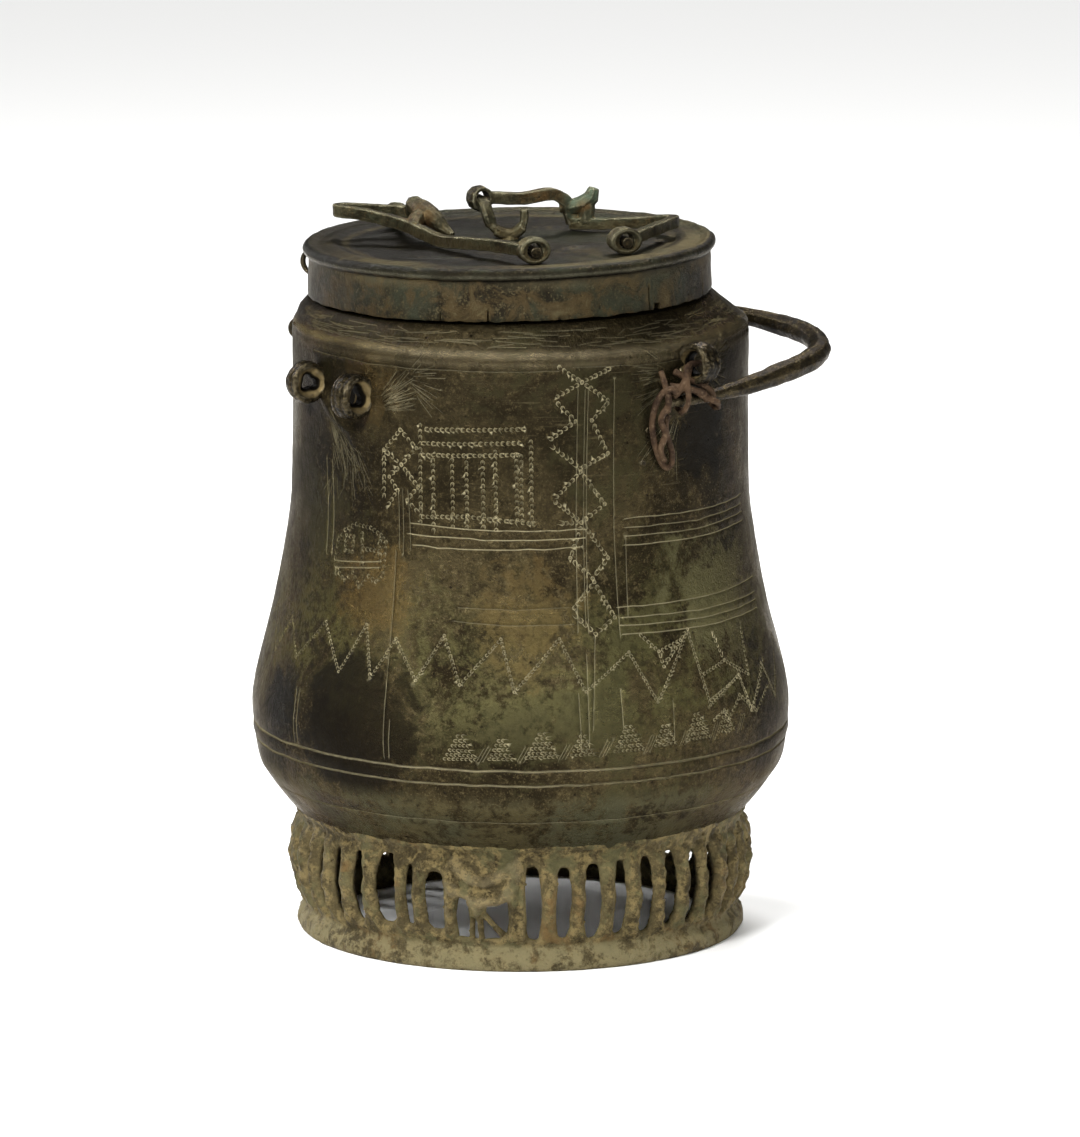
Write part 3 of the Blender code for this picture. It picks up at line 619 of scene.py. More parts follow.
# The gate: punched beams and posts
gateBeams = (((-23.7, 194.4), (0.7, 195.6)), ((-24.6, 189.3), (-0.2, 190.7)), ((-24.6, 185.2), (-0.6, 186.5)),
             ((-24.6, 163.2), (-12.9, 164.2), (-6.3, 163.3), (3.5, 162)))
gatePosts = ((-25.4, 195.7, 161.4), (-21.9, 183.7, 158.8), (-16.9, 184.1, 160.4), (-13.3, 185.5, 160.6),
             (-9.2, 185.7, 160.8), (-6.1, 187.6, 159.8), (-0.9, 186.5, 163.4), (0.3, 186, 163), (2.7, 191.2, 162.2))
gateLozenges = (((-31, 193.3), (-26.4, 187.4), (-30.6, 181), (-35.8, 185.5), (-31, 193.3)),
                ((-30.6, 181), (-25.9, 173.7), (-28.9, 168.6), (-26.4, 165.4)), ((-35.8, 185), (-35.6, 169.5)),
                ((-30.6, 181), (-34.1, 176.2), (-31.6, 171.8), (-34, 166.7)))
# Sets of long lines: start and end angle, then the height of each line at its start and end
longLines = (
    (-27.3, 15.4, ((160.6, 159.6), (156.9, 156.4), (153, 153.4))),
    (26.4, 73, ((162.4, 161.8), (159, 158.6), (156, 155.6), (152.8, 152.6))),
    (23.7, 73, ((131.6, 131.8), (128, 126.6), (125.2, 124), (122.2, 121))),
    (-15, 12, ((132.5, 132.7), (127.6, 126.8))),
    (-62, 9.5, ((216.4, 216),)),
    (14, 62, ((217.2, 216.6),)),
    (-178, 178, ((56.5, 57.5),)),
)
# Upright lines: angle and height at the top, angle and height at the foot
uprights = (
    (14.4, 209, 13.4, 124), (16.2, 209, 15.3, 126), (17, 209, 15.9, 124), (23.8, 212, 23.5, 121.5),
    (26.7, 156, 25.9, 128), (-31.4, 172, -30.6, 151.8), (-30.2, 172, -29.4, 150), (-28.7, 172, -27.4, 151),
    (-56.8, 178, -54.8, 145), (-54.3, 178.5, -52.5, 145.6), (-56.6, 96, -55.8, 77), (-55.4, 96, -54.6, 77),
    (-31.4, 150, -30.9, 118), (-30.8, 114.8, -29.6, 79), (-28.6, 92, -28.4, 79), (17.4, 122.7, 15.6, 90.4),
    (12.8, 103.2, 12.9, 83), (15.1, 116, 14.6, 84), (34.8, 98, 34.1, 84), (22.4, 103, 22.3, 90),
)
# Fans of file strokes: angle, height, range of headings, range of reach, count
strokeFans = (
    (-41, 198, (8, 48), (9, 17), 60), (-58, 205, (-76, -46), (10, 26), 56), (-49, 198, (-112, -62), (13, 30), 44),
    (-30, 212, (-60, 60), (2, 12), 26), (44, 212, (150, 215), (9, 16), 44), (44, 200, (215, 262), (6, 20), 40),
    (50, 212, (-40, 30), (8, 14), 20),
)
# Swellings of the wall under the lugs, the left ones run down to a nub: route, half width, rise
wallSwells = (
    (((-60, 213), (-60, 200)), 9.0, 0.9), (((-41, 212), (-41, 196)), 11.0, 1.0),
    (((-58, 201), (-52.5, 194.5), (-46, 190)), 5.0, 1.9), (((-39, 198), (-41, 192), (-45, 188)), 5.6, 2.0),
    (((-134, 212), (-134, 200), (-131, 192)), 8.0, 1.0), (((46, 221), (45.5, 210), (42, 203)), 8.0, 1.0),
    (((137, 221), (136.5, 210), (135, 204)), 8.0, 1.0), (((-35, 207), (-33, 199)), 5.0, 0.7),
)


def bodyOrnament():
    rng = random.Random(7)
    marks = []
    for a, b in zip(zigzagRoute, zigzagRoute[1:]):
        marks += punchRow([a, b], rng, 0.7 if b[0] > -48 else 0.3, 0.7)
    for strands in (lozengeChain, thornRoutes, gateBeams, gateLozenges, (archOutline,), archInside):
        faint = 0.4 if strands in ((archOutline,), archInside) else 1.0
        for strand in strands:
            for a, b in zip(strand, strand[1:]):
                marks += punchRow([a, b], rng, faint, 0.8 if strands is thornRoutes else 1.0)
    for angle, top, foot in gatePosts:
        marks += punchRow([(angle, top), (angle + 0.3, foot)], rng, 0.85)
    for start, end, heights in longLines:
        for low, high in heights:
            drift = rng.uniform(-0.7, 0.7)
            fill = ornament["faintLine"] if start in ornament["faintStarts"] else ornament["plainLine"]
            marks.append(cutLine([(start + drift, low), ((start + end) / 2, (low + high) / 2 - 0.6),
                                  (end - drift, high)], rng, fill=fill))
    half, fill = ornament["upright"]
    for a, top, b, foot in uprights:
        marks.append(cutLine([(a, top), (b, foot)], rng, half=half, fill=fill))
    for height in ornament["beltHeights"]:
        marks.append(cutLine([(-178.5, height), (-60, height + 0.3), (60, height - 0.3), (178.5, height)], rng,
                             *ornament["belt"]))
    for i in range(2):
        marks.append(cutLine([(-50.5, 143.4 - 2.3 * i), (-35.7, 145.8 - 2.0 * i)], rng, fill=0.5))
    for i in range(ornament["mountains"]):
        angle = -12.6 + 8.6 * i + 1.6 * (i > 3)
        marks += punchMountain(angle, 80.2 + 0.55 * i, *ornament["mountainRows"][i % 2], rng)
        for k in range(3):
            shift = 3.5 + 0.7 * k
            marks.append(cutLine([(angle + shift, 79.5 + 0.5 * i), (angle + shift + 1.6, 84.5 + 0.5 * i)], rng,
                                 half=0.2, cut=0.12, fill=0.2))
    for fan in strokeFans:
        marks += fileStrokes(*fan, rng)
    for _ in range(ornament["shoulderLines"]):
        angle = rng.uniform(-80, 85)
        height = rng.uniform(223.5, 229.5)
        marks.append(cutLine([(angle, height), (angle + rng.uniform(3, 14), height + rng.uniform(-1.2, 1.0))], rng,
                             half=0.18, cut=0.1, fill=0.12))
    for route, half, tall in wallSwells:
        swelling = mark(resample(unrolled(route, ornament["wrap"]), 2.0), half, -tall, 0.0)
        swelling["soft"] = True
        marks.append(swelling)
    return marks


# For each stretch of a line, the places near it and how far they are from it
def nearStretches(places, order, path, reach):
    for a, b in zip(path, path[1:]):
        first, last = np.searchsorted(places[:, 0], (min(a[0], b[0]) - reach, max(a[0], b[0]) + reach))
        if first < last:
            near = places[first:last]
            along = b - a
            t = np.clip(((near - a) @ along) / max(along @ along, 1e-12), 0.0, 1.0)
            yield order[first:last], np.hypot(*(near - a - t[:, None] * along).T)


# Depth of cut and powder at each place, as the deepest mark there gives
def pressMarks(places, marks):
    order = np.argsort(places[:, 0])
    ordered = places[order]
    cut, rise, powder = np.zeros((3, len(places)))
    for m in marks:
        for at, away in nearStretches(ordered, order, resample(m["points"], m["step"]), m["half"] * 1.0001):
            share = np.clip(1.0 - away / m["half"], 0.0, 1.0)
            if m["cut"] > 0:
                cut[at] = np.maximum(cut[at], m["cut"] * share)
                powder[at] = np.maximum(powder[at], m["fill"] * np.minimum(1.0, 1.7 * share))
            elif m.get("soft"):
                rise[at] = np.maximum(rise[at], -m["cut"] * share ** 2 * (3.0 - 2.0 * share))
            else:
                rise[at] = np.maximum(rise[at], -m["cut"] * np.sqrt(1.0 - (1.0 - share) ** 2))
    return cut, rise, powder


def loopDistance(places, loops, reach):
    order = np.argsort(places[:, 0])
    ordered = places[order]
    found = np.full(len(places), reach)
    for loop in loops:
        for at, away in nearStretches(ordered, order, np.vstack([loop, loop[:1]]), reach):
            found[at] = np.minimum(found[at], away)
    return found


def insideLoop(places, loop):
    x, y = places.T
    inside = np.zeros(len(places), bool)
    for (ax, ay), (bx, by) in zip(loop, np.roll(loop, -1, axis=0)):
        if ay == by:
            continue
        inside ^= ((ay > y) != (by > y)) & (x < (bx - ax) * (y - ay) / (by - ay) + ax)
    return inside


# The unrolled wall as triangles whose edges follow the marks and the rims of the openings
def unrolledSheet(width, low, high, grids, columns, marks, loops, rng):
    coords, edges = [], []

    def addLine(points, closed=False):
        first = len(coords)
        coords.extend((float(x), float(y)) for x, y in points)
        edges.extend((first + i, first + i + 1) for i in range(len(points) - 1))
        if closed:
            edges.append((first + len(points) - 1, first))

    across = np.linspace(-width / 2, width / 2, columns + 1)
    upward = np.linspace(low, high, max(3, int((high - low) / 2.2)))[1:-1]
    for row in (low, high):
        addLine([(x, row) for x in across])
    for column in (-width / 2, width / 2):
        addLine([(column, y) for y in upward])
    fixed = len(coords)
    for m in marks:
        path = resample(m["points"], m["step"])
        ahead = np.gradient(path, axis=0)
        ahead /= np.maximum(np.hypot(*ahead.T), 1e-9)[:, None]
        side = np.column_stack([-ahead[:, 1], ahead[:, 0]]) * m["half"]
        for line in (path, path + side, path - side):
            addLine(line)
    for loop in loops:
        addLine(loop, closed=True)
    tree = kdtree.KDTree(len(coords))
    for i, (x, y) in enumerate(coords):
        tree.insert((x, y, 0.0), i)
    tree.balance()
    for x0, x1, spacing in grids:
        rise = spacing * 0.866
        for j in range(1, int((high - low) / rise)):
            y = low + j * rise
            shift = spacing / 2 if j % 2 else 0.0
            for i in range(int((x1 - x0) / spacing)):
                x = x0 + shift + i * spacing + rng.uniform(-0.15, 0.15) * spacing
                place = (x, y + rng.uniform(-0.15, 0.15) * spacing)
                if abs(x) < width / 2 - 0.6 * spacing and low + 0.5 < place[1] < high - 0.5:
                    if tree.find((*place, 0.0))[2] > 0.5 * spacing:
                        coords.append(place)
    made = delaunay_2d_cdt(coords, edges, [], 0, 1e-3, False)
    places = np.array([(p[0], p[1]) for p in made[0]])
    faces = np.array([f for f in made[2] if len(f) == 3])
    middles = places[faces].mean(axis=1)
    keep = np.ones(len(faces), bool)
    for loop in loops:
        near = np.nonzero((np.abs(middles - loop.mean(axis=0)) < np.ptp(loop, axis=0)).all(axis=1))[0]
        keep[near[insideLoop(middles[near], loop)]] = False
    return places, faces[keep]


def rowOf(places, height):
    found = np.nonzero(np.abs(places[:, 1] - height) < 1e-4)[0]
    return found[np.argsort(places[found, 0])]


# The cord first: the loop of thong that hangs under the front lug

thong = {
    "radius": 1.15,
    "lugAngle": 46.0,
    "lugHeight": shoulder - 15.5,
    "bailDrop": 12.7,
    # distance round from the lug, distance out from the wall, height over the bail's tip
    "loopRoute": (
        (-12.0, 8.6, 3.6), (-13.8, 8.0, 5.4), (-16.0, 6.6, 4.4), (-17.4, 5.0, 1.2), (-17.9, 3.4, -3.2),
        (-17.8, 2.4, -8.0), (-16.9, 1.9, -13.0), (-15.2, 1.7, -18.0), (-13.2, 1.7, -22.0), (-11.0, 1.8, -23.8),
        (-9.2, 2.0, -22.0), (-9.4, 2.3, -18.4), (-11.0, 2.8, -14.6), (-12.9, 3.6, -11.0), (-13.6, 4.2, -7.2),
        (-12.8, 4.6, -4.2),
    ),
    # strands over the knot: angle round the vessel, distance out from the wall, height
    "strands": (
        ((44.5, 3.4, 215.0), (42.0, 6.4, 212.4), (39.3, 7.4, 207.9), (38.2, 5.6, 204.4)),
        ((39.6, 3.0, 213.4), (43.0, 6.4, 210.0), (47.2, 8.8, 206.4), (49.4, 8.0, 203.0)),
        ((37.6, 4.2, 208.8), (41.0, 8.6, 207.6), (44.8, 10.0, 205.6), (46.6, 8.6, 202.4)),
        ((36.0, 2.4, 213.8), (35.6, 6.0, 209.0), (35.8, 7.4, 204.6), (36.2, 6.2, 199.8)),
        ((36.2, 6.2, 202.0), (34.6, 5.4, 197.0), (36.4, 4.4, 191.6), (35.4, 3.6, 186.4), (36.8, 3.0, 181.6)),
    ),
    "dark": (0.017, 0.0095, 0.0055),
    "brown": (0.052, 0.031, 0.017),
    "grain": (0.12, 0.082, 0.048),
    "specular": 0.07,
}


def leatherFinish():
    made, n, shader = newFinish("old thong leather")
    place = n.onPiece()
    grain = n.noise(place, 900.0, 5.0, 0.65)
    patches = n.noise(place, 160.0, 4.0, 0.6)
    color = n.mix(n.ramp(patches, 0.38, 0.64), thong["dark"], thong["brown"])
    color = n.mix(n.ramp(grain, 0.5, 0.72, 0.0, 0.55), color, thong["grain"])
    n.put(shader.inputs["Base Color"], color)
    n.put(shader.inputs["Roughness"], n.ramp(grain, 0.3, 0.7, 0.8, 0.6))
    shader.inputs["Specular IOR Level"].default_value = thong["specular"]
    lift = n.add("ShaderNodeBump", {"Height": grain, "Strength": 0.5, "Distance": 0.0004})
    n.put(shader.inputs["Normal"], lift.outputs["Normal"])
    return made


def makeThongLoop():
    low = thong["lugHeight"] - thong["bailDrop"]
    wall = float(np.interp(low, pearRows[:, 0], pearRows[:, 1]))
    points = [around(thong["lugAngle"] + math.degrees(a / wall), wall + out, low + up)
              for a, out, up in thong["loopRoute"]]
    loop = roundBar("thongLoop", points, [thong["radius"]] * len(points), sides=4, steps=4)
    loop.data.materials.append(leather)
    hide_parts("thong_loop")
    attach(loop, "root")


leather = leatherFinish()
makeThongLoop()


bowlPlan = {
    "columns": 300,
    "frontSpacing": 1.45,
    "backSpacing": 2.2,
    "frontHalf": 88.0,      # degrees each side that take the finer spacing
    # rolls of the wall: height, half width, rise; then how worn they are
    "rolls": ((73.6, 1.9, 0.45), (221.6, 1.3, 0.5), (217.9, 0.9, 0.18)),
    "wornRolls": ((221.6, 1.4, 0.9), (217.9, 1.0, 0.35)),
    "swells": ((0.34, 3.1, 28.0), (0.1, 15, 6.0), (0.045, 44, 2.0)),
    "innerHeights": (228.0, 221, 213, 200, 175, 150, 130, 112, 100, 88, 76, 66, 57, 51),
    "innerFloor": ((74.5, 46.6), (66, 44.2), (45, 42.2), (20, 41.4)),
    "dark": (0.018, 0.014, 0.0075),
    "body": (0.063, 0.05, 0.026),
    "dirt": (0.17, 0.137, 0.072),
    "clouds": 26.0,
    "dirtAmount": 0.35,
    "rough": (0.36, 0.17),
    "metallic": 0.8,
    "bump": 0.6,
}


# Green round the belly, ochre and near-black patches at the front, dark shoulder, paler under the belt, painted shade
# on the wall behind the left lugs, and a painted shadow of the bail and thong
def bodyPaint(n, place, color):
    height = n.height(place)
    cloud = n.noise(place, 17.0, 5.0, 0.62, 0.6)
    wisps = n.noise(place, 75.0, 7.0, 0.74, 0.9)
    crumbs = n.noise(place, 330.0, 5.0, 0.7)
    ragged = n.plus(n.times(wisps, 0.7), n.times(crumbs, 0.3))

    def patch(centre, reach, most=1.0, thin=0.0):
        near = n.times(n.spot(place, centre, reach, 0.0), 0.5)
        return n.ramp(n.plus(near, ragged), 0.74 + thin, 0.86 + thin, 0.0, most)

    belt = n.times(n.ramp(height, 0.076, 0.1), n.ramp(height, 0.16, 0.118))
    green = n.times(belt, n.ramp(n.plus(cloud, n.times(ragged, 1.3)), 0.98, 1.28), True)
    leaf = n.mix(n.ramp(crumbs, 0.38, 0.56), (0.05, 0.047, 0.022), (0.108, 0.1, 0.045))
    color = n.mix(n.times(green, 0.85), color, leaf)
    color = n.mix(n.ramp(n.plus(cloud, ragged), 1.03, 1.15, 0.0, 0.7), color, (0.06, 0.055, 0.027))
    color = n.mix(patch((0.075, -0.06, 0.135), 0.07, 0.75, 0.04), color, (0.11, 0.102, 0.055))
    ochre = n.math("MAXIMUM", patch((-0.062, -0.075, 0.136), 0.05, 0.7, 0.07),
                   patch((-0.005, -0.09, 0.13), 0.07, 0.55, 0.12))
    ochre = n.math("MAXIMUM", ochre, patch((-0.06, -0.062, 0.207), 0.03, 0.65, 0.03))
    color = n.mix(n.times(ochre, n.ramp(crumbs, 0.36, 0.54, 0.45, 0.95)), color, (0.105, 0.072, 0.03))
    color = n.mix(patch((-0.062, -0.07, 0.087), 0.056, 0.86, -0.02), color, (0.012, 0.0095, 0.006))
    color = n.mix(patch((-0.087, -0.04, 0.09), 0.036, 0.85, 0.02), color, (0.012, 0.01, 0.007))
    # Painted shade: near-black spots on the wall behind the left lugs, where the bores look through onto it
    paintedShadeBehindLugs = n.math("MAXIMUM", n.spot(place, (-0.084, -0.031, 0.203), 0.013, 0.5),
                        n.spot(place, (-0.0662, -0.0575, 0.2025), 0.0075, 0.5))
    color = n.mix(paintedShadeBehindLugs, color, (0.006, 0.005, 0.0035))
    # Painted shadow: a near-black patch on the wall beside the hanging thong, under the bail's tip
    color = n.mix(patch((0.064, -0.058, 0.19), 0.036, 0.95, -0.07), color, (0.01, 0.0085, 0.0065))
    pale = n.mix(n.ramp(cloud, 0.4, 0.6), (0.1, 0.085, 0.045), (0.08, 0.077, 0.048))
    lower = n.times(n.ramp(height, 0.069, 0.061), n.ramp(ragged, 0.42, 0.56, 0.0, 0.9))
    color = n.mix(lower, color, pale)
    color = n.mix(n.times(n.ramp(height, 0.13, 0.2, 0.0, 0.5), n.ramp(wisps, 0.38, 0.56, 0.6, 1.0)), color,
                  (0.014, 0.0115, 0.0065))
    lines = n.add("ShaderNodeGroup", node_tree=scratches).outputs["Lines"]
    return n.mix(n.times(lines, n.ramp(height, 0.12, 0.2, 0.15, 0.45)), color, (0.13, 0.11, 0.065))


def makeBowl():
    rng = random.Random(3)
    wrap = ornament["wrap"]
    width = 2 * math.pi * wrap
    low, high = vessel["footHeight"] - 0.6, shoulder - 0.3
    columns = bowlPlan["columns"]
    marks = bodyOrnament()
    print(f"bowl: {len(marks)} marks")
    side = math.radians(bowlPlan["frontHalf"]) * wrap
    fine, wide = bowlPlan["frontSpacing"], bowlPlan["backSpacing"]
    grids = ((-width / 2, -side, wide), (-side, side, fine), (side, width / 2, wide))
    flat, faces = unrolledSheet(width, low, high, grids, columns, marks, [], rng)
    cut, rise, powder = pressMarks(flat, marks)
    angle = flat[:, 0] / wrap
    height = flat[:, 1]
    radius = pearRadius(height)
    for level, half, tall in bowlPlan["rolls"]:
        radius += tall * np.exp(-((height - level) / half) ** 2)
    wearAndHighlight = sum(much * np.exp(-((height - level) / half) ** 2) for level, half, much in bowlPlan["wornRolls"])
    fade = np.clip((high - height) / 3, 0, 1) * np.clip((height - low) / 3, 0, 1)
    swell = ripples(angle, height, bowlPlan["swells"])
    radius += fade * (swell - cut + rise)
    x, z = settled(radius * np.sin(angle), height)
    points = np.column_stack([axisX + x, -radius * np.cos(angle), z])
    masks = {"powder": list(powder), "wearAndHighlight": list(np.clip(wearAndHighlight, 0, 1)), "dust": [0.0] * len(points)}
    points = [tuple(p) for p in points]
    faces = [tuple(f) for f in faces]

    def addRing(rings, previous):
        for r, level in rings:
            first = len(points)
            for k in range(columns + 1):
                turn = -math.pi + 2 * math.pi * k / columns
                sx, sz = settled(r * math.sin(turn), level)
                points.append((axisX + float(sx), -r * math.cos(turn), float(sz)))
            for values in masks.values():
                values.extend([0.0] * (columns + 1))
            ring = list(range(first, first + columns + 1))
            faces.extend((previous[k], previous[k + 1], ring[k + 1], ring[k]) for k in range(columns))
            previous = ring
        return previous

    wall = vessel["wall"]
    neck = vessel["neckRadius"]
    lip = shoulder + vessel["neckHeight"]
    inner = [(float(pearRadius(h)) - wall, h) for h in bowlPlan["innerHeights"]]
    floorLevel = vessel["footHeight"] - vessel["floorSag"]
    inside = neck - wall
    top = [(neck + 1.2, shoulder), (neck, shoulder + 0.8), (neck, lip - 0.6), (neck - 0.5, lip),
           (inside + 0.5, lip), (inside, lip - 0.6), (inside, shoulder + 0.5), *inner, *bowlPlan["innerFloor"]]
    last = addRing(top, list(rowOf(flat, high)))
    centre = len(points)
    points.append((axisX, 0.0, floorLevel + wall - 0.2))
    underside = [(76.0, floorLevel + 2.6), (45, floorLevel - 1.4), (20, floorLevel - 2.2)]
    under = addRing(underside, list(rowOf(flat, low)))
    points.append((axisX, 0.0, floorLevel - 2.4))
    for values in masks.values():
        values.extend([0.0, 0.0])
    faces.extend((last[k], last[k + 1], centre) for k in range(columns))
    faces.extend((under[k], under[k + 1], len(points) - 1) for k in range(columns))
    bowl = meshPiece("bowl", np.array(points) * mm, faces, masks)
    bowl.data.materials.append(bronzeFinish("bowl bronze", bowlPlan, bodyPaint))
    return bowl


footPlan = {
    "wrap": 80.0,
    "thickness": 4.4,
    "low": 11.4,
    "top": 38.6,
    # windows beside the panel: angle, width, bottom, top
    "nearWindows": ((3.3, 5.8, 11.2, 38.2), (11.1, 5.4, 11.6, 37.6), (18.8, 6.2, 11.0, 38.4), (26.2, 4.7, 12.0, 38.6),
                    (34.0, 5.6, 11.4, 38.8), (-22.0, 7.6, 14.2, 35.2), (-29.2, 2.6, 15.0, 37.0),
                    (-36.4, 8.6, 14.6, 39.6), (-45.8, 5.4, 13.4, 38.8)),
    # the windows all the way round the back: first and last angle, count, and the narrower and wider ones' widths
    "restFrom": 41.8,
    "restTo": 306.4,
    "restCount": 35,
    "rearWidths": (3.4, 4.6),
    "sideWidths": (4.6, 6.2),
    "sideUpTo": 75,
    "seam": (3.6, 4.2),     # no window nearer to the seam at the back than the first, and moved to the second
    "rimReach": 2.4,
    "rimRounding": 1.9,
    "lumps": ((0.8, 13, 7.0), (0.42, 36, 2.4), (0.14, 75, 1.1)),
    "columns": 360,
    "spacing": 1.3,
    "crumbs": (9000.0, 0.42, 4),    # how many a square metre, radius, seed
    # openings in the panel
    "panelOpenings": (
        ((-16.1, 12), (-13.4, 11.6), (-12.9, 18), (-13.3, 26.6), (-15.5, 27.2), (-16.4, 20)),
        ((-11.9, 11.4), (-10.7, 11.4), (-11.0, 17.4), (-11.5, 19.4)),
        ((-9.3, 11.3), (-5.0, 11.8), (-7.4, 16.4), (-9.5, 19.6)),
        ((-8.7, 22), (-6.5, 17.8), (-3.5, 13.6), (-2.8, 18), (-3.2, 26.2), (-5.6, 24.4), (-8.2, 24.2)),
    ),
    # raised swags and nubs of the panel: route, half width, rise
    "swags": (
        (((-17.4, 31), (-15.2, 27.8), (-11.6, 25.8), (-7.5, 25.2), (-4.3, 26.4), (-1.6, 33), (-0.6, 38)), 2.5, 1.9),
        (((-16.6, 40), (-14.6, 36.4), (-11.6, 33.6), (-8.6, 33.2), (-3.8, 36.2), (-1.2, 39.4)), 2.2, 1.7),
        (((-11.9, 25), (-10.6, 21.2), (-9.6, 25)), 1.5, 1.5),
        (((-18.4, 23), (-17.6, 20.4)), 1.3, 1.3),
        (((-17.4, 41), (-18.6, 30), (-17.8, 13)), 1.9, 0.9),
        (((-1.9, 41), (-1.6, 28), (-1.9, 12)), 1.3, 1.0),
        (((0.9, 40), (0.7, 26), (0.8, 12)), 1.3, 1.0),
    ),
    "dark": (0.02, 0.0155, 0.009),
    "body": (0.098, 0.078, 0.04),
    "dirt": (0.22, 0.175, 0.085),
    "clouds": 60.0,
    "dirtAmount": 0.5,
    "rough": (0.62, 0.44),
    "metallic": 0.25,
    "bump": 1.0,
}
# Side of the foot: height, radius
footRows = ((0.0, 79.6), (0.8, 80.5), (2.6, 80.6), (5.6, 80.2), (7.4, 78.6), (8.8, 77.9), (11.4, 79.2), (17, 81.4),
            (25.8, 83.1), (33, 82.4), (38.7, 81.2), (41.4, 80.2), (43.2, 80.4), (44.8, 81.9), (46.2, 82.6),
            (47.0, 82.0))


# One opening with squarish, unsteady edges
def windowLoop(angle, width, low, top, rng):
    made = []
    half = width / 2
    middle = (low + top) / 2
    tall = (top - low) / 2
    lean = rng.gauss(0.0, 0.25)
    corners = 22
    for k in range(corners):
        turn = 2 * math.pi * k / corners
        c, s = math.cos(turn), math.sin(turn)
        x = half * math.copysign(abs(c) ** 0.5, c) * rng.uniform(0.84, 1.08)
        y = tall * math.copysign(abs(s) ** 0.6, s) * rng.uniform(0.98, 1.02)
        made.append((math.radians(angle) * footPlan["wrap"] + x + lean * y / tall, middle + y))
    return np.array(made)


# Dry earth in ochre, green and near-black, palest on the flange
def footPaint(n, place, color):
    height = n.height(place)
    crust = n.noise(place, 240.0, 6.0, 0.74)
    wisps = n.noise(place, 80.0, 6.0, 0.7, 0.7)
    stains = n.noise(place, 45.0, 5.0, 0.7, 0.5)
    pitted = n.noise(place, 620.0, 4.0, 0.7)
    color = n.mix(n.ramp(crust, 0.46, 0.58, 0.0, 0.85), color, (0.23, 0.18, 0.085))
    color = n.mix(n.ramp(pitted, 0.44, 0.37, 0.0, 0.8), color, (0.016, 0.012, 0.007))
    color = n.mix(n.ramp(wisps, 0.5, 0.6, 0.0, 0.75), color, (0.085, 0.088, 0.046))
    color = n.mix(n.ramp(stains, 0.56, 0.66, 0.0, 0.7), color, (0.15, 0.088, 0.034))
    color = n.mix(n.ramp(wisps, 0.46, 0.36, 0.0, 0.8), color, (0.014, 0.011, 0.007))
    flange = n.times(n.ramp(height, 0.0105, 0.008), n.ramp(n.plus(wisps, crust), 0.88, 1.08, 0.1, 0.9))
    return n.mix(flange, color, (0.21, 0.185, 0.108))


